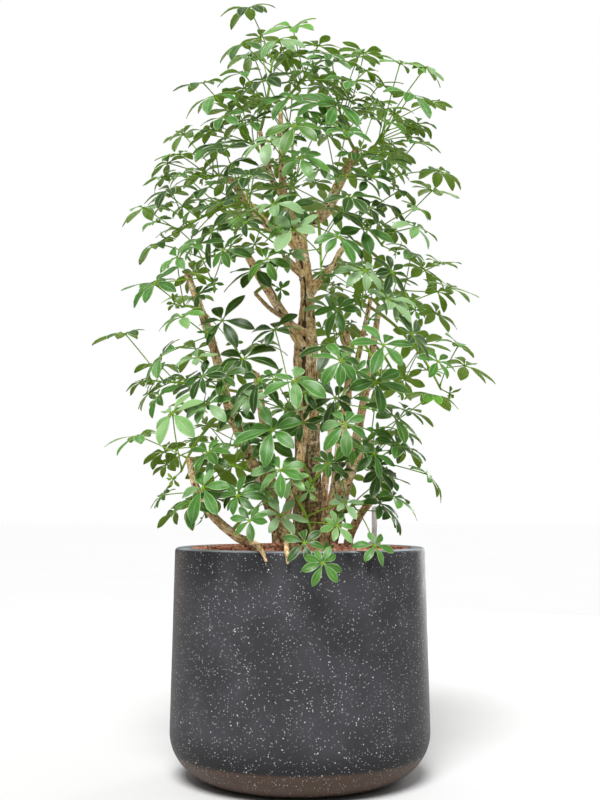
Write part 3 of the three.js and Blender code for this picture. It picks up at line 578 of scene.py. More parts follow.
def vectors_of(mesh: Mesh, kind: str = "co") -> np.ndarray:
    """The vectors of a mesh's vertices.

    Args:
        mesh: The mesh.
        kind: Which vectors: co for places, normal for normals.

    Returns:
        One row for each vertex.
    """
    found = np.zeros(len(mesh.vertices) * 3)
    mesh.vertices.foreach_get(kind, found)
    return found.reshape(-1, 3)


def shape_mesh(mesh: Mesh, places: np.ndarray, traits: dict[str, np.ndarray]) -> None:
    """Moves a mesh's vertices and gives them vector attributes.

    Args:
        mesh: The mesh.
        places: Where its vertices go, in mm.
        traits: The rows of each attribute, by its name.
    """
    mesh.vertices.foreach_set("co", (places * MM).ravel())
    for name, rows in traits.items():
        layer = mesh.attributes.new(name, "FLOAT_VECTOR", "POINT")
        layer.data.foreach_set("vector", rows.astype(np.float32).ravel())
    mesh.update()


def lathe(name: str, profile: list[Pair], steps: int, centre: Point = (0, 0, 0)) -> Mesh:
    """Spins a profile round the vertical.

    Args:
        name: The mesh's name.
        profile: The outline as (radius, height) in metres. It closes on itself or ends on the axis.
        steps: How many steps make the full turn.
        centre: The place of the axis.

    Returns:
        The closed mesh, whose edges of over 35 degrees stay sharp.
    """
    bm = bmesh.new()
    verts = [bm.verts.new((centre[0] + r, centre[1], centre[2] + z)) for r, z in profile]
    edges = [bm.edges.new(pair) for pair in zip(verts, verts[1:])]
    if profile[0][0] > 0:
        edges.append(bm.edges.new((verts[-1], verts[0])))
    bmesh.ops.spin(bm, geom=verts + edges, cent=centre, axis=(0, 0, 1), dvec=(0, 0, 0),
                   angle=math.tau, steps=steps, use_merge=True, use_duplicate=False)
    bmesh.ops.remove_doubles(bm, verts=bm.verts, dist=1e-6)
    bmesh.ops.recalc_face_normals(bm, faces=bm.faces)
    mesh = mesh_from(bm, name)
    mesh.set_sharp_from_angle(angle=math.radians(35))
    return mesh


def arc(centre: Pair, radii: Pair, start: float, end: float, steps: int) -> list[Pair]:
    """Points of an elliptical arc from a start to an end angle in degrees."""
    angles = [math.radians(start + (end - start) * i / steps) for i in range(steps + 1)]
    return [(centre[0] + radii[0] * math.cos(a), centre[1] + radii[1] * math.sin(a)) for a in angles]


@dataclass
class Planter:
    """The round planter: a rounded foot, an upright wall that draws in a little, and a soft lip.

    Sizes are in metres, and radii are those of the outside. The belly is the widest place. Under the
    lip's thick part the wall thins over lip_slope. The granules reach up to bed_edge at the wall, and
    higher by bed_mound in the middle.
    """

    rim_radius: float = 0.241
    rim_height: float = 0.434
    rim_round: float = 0.007
    lip_width: float = 0.027
    lip_depth: float = 0.034
    lip_soft: float = 0.003
    lip_slope: float = 0.012
    belly_radius: float = 0.248
    belly_height: float = 0.09
    foot_radius: float = 0.151
    wall: float = 0.015
    floor: float = 0.022
    floor_wider: float = 0.01
    bed_edge: float = 0.429
    bed_mound: float = 0.007
    spans: int = 6
    steps: int = 160
    finish: PlanterFinish = PlanterFinish()

    @property
    def mouth(self) -> float:
        """The radius of the planter's opening."""
        return self.rim_radius - self.lip_width

    def bed_height(self, radius: float) -> float:
        """The granule bed's mean height at a distance from the middle, in metres."""
        share = radius / self.mouth
        return self.bed_edge + self.bed_mound * (1 - share * share)

    def outside(self) -> list[Pair]:
        """The wall's outside.

        Returns:
            Its points, from the edge of the foot to the top of the rim.
        """
        foot = arc((self.foot_radius, self.belly_height),
                   (self.belly_radius - self.foot_radius, self.belly_height), -90, 0, steps=20)
        rise = self.rim_height - self.rim_round - self.belly_height
        wall = [(self.belly_radius - (self.belly_radius - self.rim_radius) * k / self.spans,
                 self.belly_height + rise * k / self.spans) for k in range(1, self.spans)]
        rim = arc((self.rim_radius - self.rim_round, self.rim_height - self.rim_round),
                  (self.rim_round, self.rim_round), 0, 90, steps=6)
        return [*foot, *wall, *rim]

    def inside(self) -> list[Pair]:
        """The wall's inside, from the lip to the middle of the floor."""
        lip = arc((self.mouth + self.lip_soft, self.rim_height - self.lip_soft),
                  (-self.lip_soft, self.lip_soft), 90, 0, steps=4)
        return [
            *lip,
            (self.mouth, self.rim_height - self.lip_depth),
            (self.rim_radius - self.wall, self.rim_height - self.lip_depth - self.lip_slope),
            (self.belly_radius - self.wall, self.belly_height),
            (self.foot_radius + self.floor_wider, self.floor),
            (0.0, self.floor),
        ]

    def build(self) -> None:
        """Builds the planter's wall."""
        mesh = lathe("planter_wall", [(0.0, 0.0), *self.outside(), *self.inside()], self.steps)
        add_piece("planter_wall", mesh, self.finish.material(), "planter", ["planter"])


@dataclass
class GranuleBed:
    """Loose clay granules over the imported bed, laid on rings in equal sectors.

    Spacing is their mean distance in metres, and ring_gap that of the rings as a share of it. The jitter is
    in shares of a granule's step round and of the spacing. Lift, over the bed's mean height, and radius
    are least and most. The outer ring keeps the share reach of that radius from the wall. Squash is how
    flat the flattest granule is.
    """

    planter: Planter
    spacing: float = 0.0051
    ring_gap: float = 0.86
    jitter: Pair = (0.3, 0.25)
    lift: Pair = (-0.0014, 0.0026)
    radius: Pair = (0.0021, 0.0034)
    reach: float = 0.7
    squash: float = 0.7
    sectors: int = 6
    seed: int = 11
    finish: GranuleFinish = GranuleFinish()

    def spots(self, draws: np.random.Generator) -> list[Point]:
        """Places of the granules of one sector, on jittered rings.

        Args:
            draws: The source of the jitter.

        Returns:
            The places, in metres.
        """
        found = []
        span = math.tau / self.sectors
        round_by, out_by = self.jitter
        radius = self.spacing / 2
        while radius < self.planter.mouth - self.radius[1] * self.reach:
            count = max(1, round(radius * span / self.spacing))
            for k in range(count):
                angle = (k + 0.5 + draws.uniform(-round_by, round_by)) * span / count
                far = radius + draws.uniform(-out_by, out_by) * self.spacing
                height = self.planter.bed_height(far) + draws.uniform(*self.lift)
                found.append((far * math.cos(angle), far * math.sin(angle), height))
            radius += self.spacing * self.ring_gap
        return found

    def sector(self) -> bmesh.types.BMesh:
        """Lays one sector.

        Returns:
            Its granules, each with its own shade.
        """
        draws = np.random.default_rng(self.seed)
        bm = bmesh.new()
        tone = bm.verts.layers.float_vector.new("tone")
        for spot in self.spots(draws):
            size = draws.uniform(*self.radius)
            flat = Matrix.Diagonal((1, draws.uniform(self.squash, 1), draws.uniform(self.squash, 1), 1))
            turn = Euler(draws.uniform(0, math.tau, 3)).to_matrix().to_4x4()
            place = Matrix.Translation(spot) @ turn @ flat
            made = bmesh.ops.create_icosphere(bm, subdivisions=1, radius=size, matrix=place)
            shade = draws.uniform(0.0, 1.0)
            for vert in made["verts"]:
                vert[tone] = (shade, 0.0, 0.0)
        return bm

    def build(self) -> None:
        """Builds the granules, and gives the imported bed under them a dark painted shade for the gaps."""
        bm = self.sector()
        more = self.sectors - 1
        bmesh.ops.spin(bm, geom=bm.verts[:] + bm.edges[:] + bm.faces[:], cent=(0, 0, 0), axis=(0, 0, 1),
                       dvec=(0, 0, 0), angle=math.tau * more / self.sectors, steps=more, use_merge=False,
                       use_duplicate=True)
        add_piece("granules", mesh_from(bm, "granules", smooth=False), self.finish.material(), "granules")
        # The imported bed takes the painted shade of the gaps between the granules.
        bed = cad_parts["granule_bed"]
        bed.data.materials.clear()
        bed.data.materials.append(GranuleFinish.painted_gap_shade().material())
        LOG.info("granule_bed: dressed as packed")


@dataclass
class WaterGauge:
    """The water gauge: a clear tube with a red float, in a grey domed collar.

    Sizes are in metres. The tube's foot is deep in the granules, and a gap parts it from the collar. The
    float is a thin rod with a thicker head.
    """

    place: Pair = (0.152, 0.114)
    radius: float = 0.0055
    wall: float = 0.0012
    top: float = 0.513
    foot: float = 0.382
    gap: float = 0.0003
    collar_radius: float = 0.017
    collar_height: float = 0.015
    collar_foot: float = 0.427
    collar_step: float = 0.003
    rod_radius: float = 0.0014
    head_radius: float = 0.003
    head_height: float = 0.009
    head_top: float = 0.46
    edge: float = 0.001
    sides: int = 32

    def tube_profile(self) -> list[Pair]:
        """The tube's outline.

        Returns:
            Its points, open at the foot, with a small dome on top.
        """
        inside = self.radius - self.wall
        outer = arc((0.0, self.top - self.radius), (self.radius, self.radius), 0, 90, steps=8)
        inner = arc((0.0, self.top - self.radius), (inside, inside), 90, 0, steps=8)
        return [(self.radius, self.foot), *outer, *inner, (inside, self.foot)]

    def collar_profile(self) -> list[Pair]:
        """The collar's outline.

        Returns:
            A flat underside, a small step and a dome up to the tube.
        """
        hole = self.radius + self.gap
        step = self.collar_foot + self.collar_step
        radii = (self.collar_radius - hole - 2 * self.edge, self.collar_height - self.collar_step)
        dome = arc((hole + self.edge, step), radii, 0, 86, steps=10)
        return [(hole, self.collar_foot), (self.collar_radius, self.collar_foot),
                (self.collar_radius, step), *dome]

    def float_profile(self) -> list[Pair]:
        """The float's outline: a thin rod with a thicker, rounded head."""
        neck = self.head_top - self.head_height
        return [(0.0, self.foot), (self.rod_radius, self.foot), (self.rod_radius, neck - self.edge),
                (self.head_radius, neck), (self.head_radius, self.head_top - self.edge),
                (self.head_radius - self.edge, self.head_top), (0.0, self.head_top)]

    def build(self) -> None:
        """Builds the tube, the collar and the float."""
        parts = {
            "gauge_tube": (self.tube_profile(), Plastic.CLEAR, "gauge_clear"),
            "gauge_collar": (self.collar_profile(), Plastic.GREY, "gauge_grey"),
            "gauge_float": (self.float_profile(), Plastic.RED, "gauge_red"),
        }
        for name, (profile, plastic, slot) in parts.items():
            mesh = lathe(f"{name}_fine", profile, self.sides, (*self.place, 0.0))
            add_piece(f"{name}_fine", mesh, plastic.material(), slot, [name])


@dataclass(frozen=True)
class Route:
    """A woody route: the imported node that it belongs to, and its points [x, y, z, radius] in mm."""

    node: str
    points: tuple[tuple[float, float, float, float], ...]

    def at(self, share: float) -> np.ndarray:
        """A point of the smooth curve through the route's points.

        Args:
            share: How far along the route it is, from 0 to 1.

        Returns:
            The point as [x, y, z, radius].
        """
        points = np.array(self.points, float)
        last = len(points) - 1
        place = min(max(share, 0.0), 1.0) * last
        i = min(math.floor(place), last - 1)
        u = place - i
        a, b, c, d = points[max(i - 1, 0)], points[i], points[i + 1], points[min(i + 2, last)]
        square = 2 * a - 5 * b + 4 * c - d
        cube = 3 * b - a - 3 * c + d
        return 0.5 * (2 * b + (c - a) * u + square * u * u + cube * u * u * u)

    def line(self, steps: int) -> np.ndarray:
        """Points all along the route, in that many steps from one stated point to the next."""
        last = steps * (len(self.points) - 1)
        return np.array([self.at(i / last) for i in range(last + 1)])


@dataclass(frozen=True)
class Spray:
    """A leafy shoot, which grows at a share of a wood route's length.

    It has leading rosettes, given in mm, more leaves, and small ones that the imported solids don't have.
    """

    wood: str
    at: float
    leads: tuple[Point, ...]
    more: int
    small: int = 3


# Woody stems, from the root end up, in millimetres. The routes of one node grow together.
WOOD: dict[str, Route] = {
    "trunk": Route("trunk", (
        (13, 14, 323, 27), (14, 13, 433, 27), (15, 10, 500, 25), (15, 8, 600, 22), (13, 6, 700, 21.5),
        (12, 2, 811, 21.5), (13, -2, 862, 17), (14, -3, 908, 13.5), (13, -5, 952, 12.5),
        (5, -5, 998, 13.5), (-3, -4, 1047, 13.5),
    )),
    "upper_left": Route("trunk", (
        (0, -4, 1016, 11), (-25, -12, 1044, 10), (-62, -22, 1063, 9), (-101, -29, 1104, 8),
        (-139, -31, 1157, 6.5),
    )),
    "upper_middle": Route("trunk", (
        (-3, -4, 1031, 11), (-13, 4, 1084, 9.5), (-31, 10, 1127, 8.5), (-36, 12, 1180, 7),
        (-37, 14, 1239, 6), (-40, 16, 1315, 4.5),
    )),
    "upper_fork": Route("trunk", (
        (-29, 8, 1121, 7.5), (-52, 0, 1154, 7), (-68, -8, 1202, 6), (-80, -10, 1258, 4.5),
    )),
    "upper_right": Route("trunk", (
        (-2, -5, 1042, 12.5), (17, -8, 1070, 12.5), (54, -8, 1097, 11), (73, -4, 1143, 10.5),
        (94, 0, 1184, 10), (113, 4, 1223, 8),
    )),
    "side_right": Route("trunk", (
        (21, -4, 931, 9), (41, -10, 961, 8), (66, -14, 987, 7), (83, -14, 1017, 6), (110, -10, 1034, 5),
    )),
    "side_left": Route("trunk", (
        (6, -2, 824, 11), (-32, -14, 886, 10), (-61, -22, 933, 9.5), (-87, -31, 974, 8.5),
        (-101, -35, 998, 7.5),
    )),
    "stub": Route("trunk", (
        (6, -6, 966, 9), (-12, -20, 981, 8.5), (-31, -31, 998, 8),
    )),
    "twig": Route("trunk", (
        (21, -2, 849, 6), (0, -22, 859, 5), (-30, -35, 876, 4.5), (-59, -43, 895, 4.5),
        (-87, -51, 923, 4),
    )),
    "fork_base": Route("front_fork_stem", (
        (-14, -153, 323, 12.5), (-20, -162, 433, 12.5), (-39, -145, 481, 11),
    )),
    "fork_left": Route("front_fork_stem", (
        (-33, -149, 467, 10), (-60, -129, 522, 10.5), (-94, -106, 606, 10), (-133, -90, 696, 9.5),
        (-158, -82, 791, 9), (-182, -76, 866, 8.5), (-217, -70, 958, 6),
    )),
    "fork_right": Route("front_fork_stem", (
        (-33, -149, 469, 9), (-16, -125, 531, 8.5), (-2, -104, 587, 8), (7, -88, 641, 7.5),
        (13, -78, 698, 6),
    )),
    "fork_root": Route("front_fork_stem", (
        (-22, -162, 440, 6), (-24, -194, 447, 5.5), (-24, -232, 444, 5), (-22, -254, 428, 4),
        (-21, -254, 413, 2.5),
    )),
    "low_left": Route("low_left_stem", (
        (-75, -149, 333, 9), (-81, -153, 433, 9), (-116, -164, 459, 8.5), (-161, -149, 499, 8),
        (-192, -129, 550, 7), (-206, -115, 601, 6),
    )),
    "low_left_root": Route("low_left_stem", (
        (-91, -157, 443, 6), (-85, -190, 447, 5.5), (-73, -226, 444, 5), (-63, -248, 430, 3.5),
        (-58, -251, 417, 2.5),
    )),
    "dark_stem": Route("dark_stem", (
        (36, 63, 322, 8), (39, 59, 433, 8), (48, 53, 534, 7.5), (57, 47, 626, 7), (68, 45, 698, 6),
    )),
    "right_fork": Route("right_fork_stem", (
        (44, -67, 323, 10), (47, -65, 433, 10), (51, -61, 493, 9.5), (65, -53, 542, 9), (74, -37, 605, 9),
        (86, -14, 687, 8.5), (95, -4, 749, 8.5), (93, -2, 801, 8.5), (90, 0, 865, 8),
    )),
    "right_fork_out": Route("right_fork_stem", (
        (51, -61, 491, 8.5), (84, -65, 546, 8), (106, -70, 591, 7.5), (129, -74, 638, 6),
    )),
    "right_fork_back": Route("right_fork_stem", (
        (95, -4, 741, 6.5), (111, 14, 791, 6), (126, 31, 853, 5.5), (143, 45, 931, 4.5),
    )),
    "right_stub": Route("right_cut_stem", (
        (91, 14, 333, 9), (93, 12, 433, 9), (106, 6, 475, 8.5), (126, 2, 508, 8), (145, 0, 532, 7.5),
    )),
    "back_left": Route("back_left_stem", (
        (-44, 98, 322, 11), (-46, 100, 433, 11), (-58, 121, 554, 10), (-76, 137, 687, 9),
        (-92, 146, 790, 7),
    )),
    "back_right": Route("back_right_stem", (
        (63, 121, 322, 11), (67, 123, 433, 11), (98, 137, 564, 10), (129, 149, 708, 9),
        (155, 160, 853, 7.5), (168, 164, 936, 6),
    )),
}

# Leafy shoots: the route each grows from, how far along it, its leading rosettes, and how many more leaves
# and small leaves it has.
SPRAYS: tuple[Spray, ...] = (
    Spray("upper_fork", 1.0, ((-103, 0, 1518), (-112, -31, 1430), (-79, 60, 1497)), 0, 4),
    Spray("upper_middle", 1.0, ((-14, -51, 1454), (37, 35, 1453), (-79, 60, 1450), (-40, -130, 1397)), 2, 10),
    Spray("upper_fork", 0.62,
          ((-196, 10, 1365), (-167, -75, 1307), (-140, 50, 1319), (-92, -100, 1246)), 1, 7),
    Spray("upper_middle", 0.66,
          ((-65, -115, 1312), (-15, -153, 1275), (-112, -50, 1363), (0, 10, 1371)), 2, 10),
    Spray("upper_right", 0.98,
          ((63, -63, 1380), (118, 10, 1419), (101, -90, 1329), (137, 60, 1463), (161, 0, 1359)), 1, 10),
    Spray("upper_right", 0.82, ((263, 50, 1336), (203, -70, 1299), (197, -50, 1381), (242, 0, 1359)), 1, 6),
    Spray("upper_middle", 0.36, ((-55, -176, 1184), (0, -200, 1136), (34, -110, 1231), (-18, -220, 1191)), 1),
    Spray("upper_right", 0.62, ((84, -155, 1197), (136, -127, 1129), (51, -60, 1296)), 2),
    Spray("upper_right", 0.72, ((223, -72, 1214), (284, 65, 1199), (162, -110, 1243)), 0, 1),
    Spray("upper_left", 0.52,
          ((-92, -209, 1105), (-140, -153, 1175), (-166, -100, 1121), (-134, -40, 1174)), 1, 4),
    Spray("upper_left", 1.0, ((-242, 0, 1213), (-189, -61, 1218), (-205, 60, 1204), (-233, 80, 1276)), 1),
    Spray("upper_left", 0.78, ((-315, 27, 1112), (-246, -102, 1113)), 1, 5),
    Spray("stub", 1.0, ((-50, -237, 1048),), 1),
    Spray("upper_right", 0.3, ((68, -217, 994), (-5, -225, 1007), (76, -165, 1052)), 1),
    Spray("upper_right", 0.46,
          ((266, 20, 1145), (219, -100, 1041), (180, -40, 1100), (136, -120, 1046)), 1, 5),
    Spray("side_left", 1.0, ((-263, -31, 1038), (-248, 51, 1074), (-194, -20, 1087)), 0, 1),
    Spray("fork_left", 1.0, ((-189, -190, 984),), 1, 1),
    Spray("fork_left", 0.86, ((-292, -10, 951), (-240, -72, 960)), 0, 0),
    Spray("fork_left", 0.74, ((-213, -172, 856), (-165, -118, 873)), 1, 1),
    Spray("twig", 1.0, ((-64, -104, 969),), 0, 0),
    Spray("side_right", 1.0, ((289, -60, 931), (222, -60, 1002)), 2, 6),
    Spray("side_right", 0.62, ((117, -200, 936), (162, -153, 891), (147, -120, 1006)), 0),
    Spray("right_fork", 1.0, ((144, -268, 791), (195, -194, 827)), 1, 1),
    Spray("right_fork", 0.74, ((70, -286, 761), (39, -225, 703), (110, -226, 730)), 1),
    Spray("right_fork_back", 0.9, ((306, -40, 821), (334, 61, 795)), 1, 1),
    Spray("fork_right", 1.0, ((-3, -294, 726), (-64, -256, 732), (-28, -230, 658), (-46, -150, 836)), 1),
    Spray("fork_left", 0.6, ((-165, -190, 695), (-136, -150, 802), (-162, -120, 750)), 0, 4),
    Spray("fork_left", 0.5, ((-226, -209, 669), (-304, -90, 644), (-252, -50, 616)), 1, 1),
    Spray("back_left", 0.86, ((-349, 25, 855), (-289, 110, 801)), 1, 4),
    Spray("right_fork_out", 1.0, ((81, -260, 668), (254, -45, 726)), 0),
    Spray("right_fork_out", 0.66, ((153, -155, 622), (178, -122, 679)), 1),
    Spray("fork_right", 0.55, ((-33, -274, 574), (88, -236, 623)), 0, 2),
    Spray("low_left", 1.0, ((-154, -231, 606), (-68, -200, 636), (-113, -150, 679)), 1),
    Spray("low_left", 0.78, ((-173, -190, 534), (-233, -80, 504)), 0),
    Spray("low_left", 0.44, ((-85, -276, 488), (-111, -190, 541)), 0),
    Spray("fork_right", 0.28, ((8, -290, 451), (30, -300, 418), (52, -230, 471)), 0, 1),
    Spray("right_stub", 0.9, ((170, -60, 494), (160, -100, 565), (98, -215, 464)), 1, 2),
    Spray("back_right", 1.0, ((204, 241, 1009), (123, 286, 1052)), 2),
    Spray("upper_right", 0.9, ((183, 194, 1255), (92, 215, 1358), (166, 200, 1389)), 1),
    Spray("upper_middle", 0.52, ((-55, 225, 1265), (20, 256, 1167), (-17, 200, 1342)), 2),
    Spray("upper_left", 0.36, ((-209, 184, 1170), (-137, 245, 1169)), 1),
    Spray("back_left", 1.0, ((-237, 245, 967), (-85, 297, 871)), 1),
    Spray("back_left", 0.62, ((-236, 215, 729), (-140, 297, 687)), 2),
    Spray("back_right", 0.8, ((260, 184, 855), (205, 266, 802)), 0, 2),
    Spray("back_right", 0.52, ((208, 194, 674), (133, 297, 656)), 1),
    Spray("dark_stem", 1.0, ((56, 297, 810), (-22, 307, 731)), 1),
    Spray("right_fork_back", 0.25, ((71, 70, 946), (102, 62, 893)), 2, 2),
)

# Growth rules, in millimetres and degrees. A draw's pair is its least and its spread, and a zone's is
# the height where it starts and how far up, or down, it is full.
AXIS = (10.0, 0.0)
GOLDEN_ANGLE = 137.5
LEAF_LENGTH = 75.0
LEAF_SIZE = (0.86, 0.3)
LEAFLET_COUNT = (6.0, 2.4)
DROOP = (-22.0, 18.0)
CURL = (24.0, 26.0)
LEAST_UP = 0.1
BACK_REACH = 0.7
CROWN = (450.0, 1000.0)
RIM_ZONE = (560.0, -90.0)
LOW_ZONE = (620.0, -120.0)

# How far a rosette leans out, at the crown's foot and top, what is added at the front and near the rim,
# how much it leans with its stalk, and how far along the stalk it faces: at least, and set to
LEAN = (26.0, 12.0)
LEAN_FRONT = (32.0, 20.0)
LEAN_AT_RIM = 16.0
LEAN_WITH_STALK = 0.5
LEAST_ALONG = 0.45
SET_ALONG = 0.6

# A shoot's stem: its tip's direction out and up, each with what is added low down, its bend's place, as
# shares of its run and its rise, and the arch of a short or falling stem
LEAD_STALK = 78.0
LEAD_STALK_SHARE = 0.6
STEM_OUT = (0.55, 0.3)
STEM_UP = (0.85, -0.9)
STEM_BEND = (0.62, 0.32)
SHORT_RISE = 60.0
ARCH_HEIGHT = 14.0
ARCH_EASE = 0.5

# Leading leaves: the first one's place on the stem and the step to the next, how far, which way and how
# much up a try shifts the hub, and its tilt, by a draw and by try
LEAD_TRIES = 24
LEAD_AT = (0.98, 0.14)
LEAD_SHIFT = (8.0, 1.2)
LEAD_TURN = 2.4
LEAD_RISE = 0.6
LEAD_TILT = (14.0, 6.0)

# Other leaves: their stretch of the stem and place in its steps, a try's turn, the rosette's tilt, and the
# stalk's length, which later tries add to
LEAF_TRIES = 34
LEAF_AT = (0.84, 0.5, 0.4)
LEAF_SWING = 22.0
LEAF_TILT = 20.0
STALK_LENGTH = (82.0, 34.0)
STALK_LONGER = 24.0

# How strongly a stalk goes round the stem, along it, up, and away from the plant's axis
LEAF_PULLS = (0.9, 0.3, 0.42, 0.3)
SMALL_PULLS = (0.8, 0.45, 0.35, 0.35)

# Seeds of the draws: their start, and what is added for each shoot and for each leaf
LEAD_SEED = (1000, 40, 7)
LEAF_SEED = (9000, 60, 11)
SMALL_SEED = (0, 50, 1)

# The bare stretch of the trunk, across and up, as the camera sees it
TRUNK_WINDOW = ((-172.0, 48.0), (797.0, 1000.0))
WINDOW_DEPTH = 2249.5
WINDOW_EYE = 513.0

# The fine leaves: how large a packed leaf's leaflets really are, and how far the upper rosettes turn to
# the front, unless they face back
FINE_SIZE = 0.88
RIM_SMALLER = 0.36
FRONT_TURN = 13.0
FRONT_TURN_ZONE = (850.0, 300.0)
FRONT_TURN_FACING = (1.2, 2.0)

# The small leaves, which only scene.py has
SMALL_SIZE = (0.5, 0.26)
SMALL_STALK = (42.0, 62.0)
SMALL_AT = (0.3, 0.98)
SMALL_TILT = (-14.0, 14.0)
SMALL_TRIES = 60
SMALL_CLEAR = 4.5

# Clearances between leaves, and the marks that keep them
LEAF_CLEAR = 8.0
LEAF_TIGHT = 6.0
LEAST_CLEAR = 4.0
MARK_SIDE = 8.0
MARK_STEP = 8.0
MARK_CELL = 10.0
MARK_SHARES = (0.25, 0.38, 0.5, 0.62, 0.74, 0.86, 1.0)
SIDE_SHARES = (0.42, 0.56, 0.7, 0.82)
STEM_MARKS = 16
WOOD_STEPS = 6
WOOD_EASE = 2.0
PLANTER_TOP = 440.0
PLANTER_REACH = 252.0

# Leaves (shoot, leaf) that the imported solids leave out, because they would touch their neighbours
LEFT_OUT = frozenset({(46, 1)})


def seeded(seed: int) -> Draw:
    """A seeded source.

    Args:
        seed: Where it starts.

    Returns:
        What draws numbers from 0 to 1.
    """
    state = seed

    def draw() -> float:
        """The next number."""
        nonlocal state
        state = (state * 1664525 + 1013904223) & 0xFFFFFFFF
        return state / 4294967296

    return draw


def unit(vector: np.ndarray) -> np.ndarray:
    """The vector's direction."""
    return vector / math.sqrt(float(vector @ vector))


def clamp(value: float) -> float:
    """The value, kept from 0 to 1."""
    return min(max(value, 0.0), 1.0)


def share_of(zone: Pair, value: float) -> float:
    """How far a value is into a zone, from 0 at its start to 1 after its run."""
    return clamp((value - zone[0]) / zone[1])


def between(pair: Pair, share: float) -> float:
    """The value at a share of the way from a pair's first to its second."""
    return pair[0] + (pair[1] - pair[0]) * share


def drawn_from(pair: Pair, random: Draw) -> float:
    """A draw, from a least value and a spread."""
    return pair[0] + pair[1] * random()


def bezier(points: Curve, share: float) -> np.ndarray:
    """The point at a share of a curve with one bend: start, bend and tip."""
    start, bend, tip = points
    return (1 - share) ** 2 * start + 2 * (1 - share) * share * bend + share ** 2 * tip


def outward_from(point: np.ndarray) -> np.ndarray:
    """The level direction from the plant's axis to a point.

    Args:
        point: The point, in mm.

    Returns:
        The direction. On the axis itself it is the front.
    """
    flat = np.array([point[0] - AXIS[0], point[1] - AXIS[1], 0.0])
    far = math.sqrt(float(flat @ flat))
    return FRONT if far < 1 else flat / far


@dataclass
class Leaf:
    """A palmate leaf: a stalk from base to hub, and a rosette of leaflets round the hub.

    Attributes:
        base: Where the stalk leaves the stem.
        hub: Where the leaflets meet.
        facing: The rosette's upward direction.
        ahead: Its forward direction, away from the stalk.
        size: The forward leaflets' length in mm.
        count: How many leaflets it has.
        droop: How far a leaflet tilts down at the hub, in degrees.
        curl: How much further it bends down by its tip.
    """

    base: np.ndarray
    hub: np.ndarray
    facing: np.ndarray
    ahead: np.ndarray
    size: float
    count: int
    droop: float
    curl: float

    @property
    def turns(self) -> np.ndarray:
        """The leaflets' angles round the hub, from straight ahead, in radians."""
        return np.radians((np.arange(self.count) + 0.5) * 360 / self.count - 180)

    def outs(self, turns: np.ndarray) -> np.ndarray:
        """The leaflets' directions, as (leaflets, 1, 3)."""
        side = np.cross(self.facing, self.ahead)
        return (np.cos(turns)[:, None] * self.ahead + np.sin(turns)[:, None] * side)[:, None]

    def reaches(self, turns: np.ndarray) -> np.ndarray:
        """The leaflets' lengths, as a column: those that point back are shorter."""
        return self.size * (BACK_REACH + (1 - BACK_REACH) * np.cos(turns / 2) ** 2)[:, None]

    def ribs(self, outs: np.ndarray, reach: np.ndarray, bends: tuple[np.ndarray | float, np.ndarray | float],
             shares: np.ndarray) -> np.ndarray:
        """Points on the leaflets' ribs.

        Args:
            outs: The leaflets' directions.
            reach: Their lengths.
            bends: How far they tilt down at the hub, and how much further by the tip, in radians.
            shares: Shares of a leaflet's length.

        Returns:
            The points, as (leaflets, shares, 3).
        """
        droop, curl = bends
        run = (np.sin(droop + curl * shares) - np.sin(droop)) / curl
        fall = (np.cos(droop) - np.cos(droop + curl * shares)) / curl
        return self.hub + outs * (reach * run)[..., None] - self.facing * (reach * fall)[..., None]

    def blade_marks(self) -> np.ndarray:
        """Marks the rosette.

        Returns:
            Points that keep leaves clear of one another.
        """
        shares = np.array(MARK_SHARES + SIDE_SHARES + SIDE_SHARES)
        middle, beside = len(MARK_SHARES), len(SIDE_SHARES)
        sides = np.repeat([0.0, MARK_SIDE, -MARK_SIDE], [middle, beside, beside])
        outs = self.outs(self.turns)
        bends = (math.radians(self.droop), math.radians(self.curl))
        points = self.ribs(outs, self.reaches(self.turns), bends, shares)
        return (points + np.cross(self.facing, outs) * sides[None, :, None]).reshape(-1, 3)

    def stalk_marks(self) -> np.ndarray:
        """Marks the stalk.

        Returns:
            Points along it.
        """
        steps = math.ceil(np.linalg.norm(self.hub - self.base) / MARK_STEP)
        shares = np.arange(2, steps + 1)[:, None] / steps
        return self.base + (self.hub - self.base) * shares

    def fine(self) -> "Leaf":
        """This packed leaf at its real size, turned a little to the front if it grows high up."""
        forward = clamp(FRONT_TURN_FACING[0] + FRONT_TURN_FACING[1] * self.facing[1])
        turn = math.radians(FRONT_TURN * (share_of(FRONT_TURN_ZONE, self.hub[2]) * forward))
        way = unit(FRONT - self.facing * float(FRONT @ self.facing))
        facing = self.facing * math.cos(turn) + way * math.sin(turn)
        ahead = unit(self.ahead - facing * float(self.ahead @ facing))
        size = self.size * (FINE_SIZE * (1 - RIM_SMALLER * share_of(RIM_ZONE, self.hub[2])))
        return replace(self, size=size, facing=facing, ahead=ahead)


def leaf_at(base: np.ndarray, hub: np.ndarray, tilt: float, random: Draw) -> Leaf:
    """A leaf whose rosette faces up and out, more so at the front and near the rim.

    Args:
        base: Where its stalk leaves the stem.
        hub: Where its leaflets meet.
        tilt: How much further it leans, in degrees.
        random: The source of its draws.

    Returns:
        The leaf.
    """
    stalk = unit(hub - base)
    outward = unit(outward_from(hub) + np.array([stalk[0], stalk[1], 0.0]) * LEAN_WITH_STALK)
    height = share_of(CROWN, hub[2])
    extra = between(LEAN_FRONT, height) + LEAN_AT_RIM * share_of(RIM_ZONE, hub[2])
    lean = math.radians(between(LEAN, height) + extra * max(-outward[1], 0.0) + tilt)
    facing = UP * math.cos(lean) + outward * math.sin(lean)
    along = float(facing @ stalk)
    facing = unit(facing + stalk * (SET_ALONG - along) if along < LEAST_ALONG else facing)
    ahead = unit(stalk - facing * (float(stalk @ facing) - 0.001))
    size = LEAF_LENGTH * drawn_from(LEAF_SIZE, random)
    count = math.floor(drawn_from(LEAFLET_COUNT, random))
    return Leaf(base, hub, facing, ahead, size, count, drawn_from(DROOP, random), drawn_from(CURL, random))


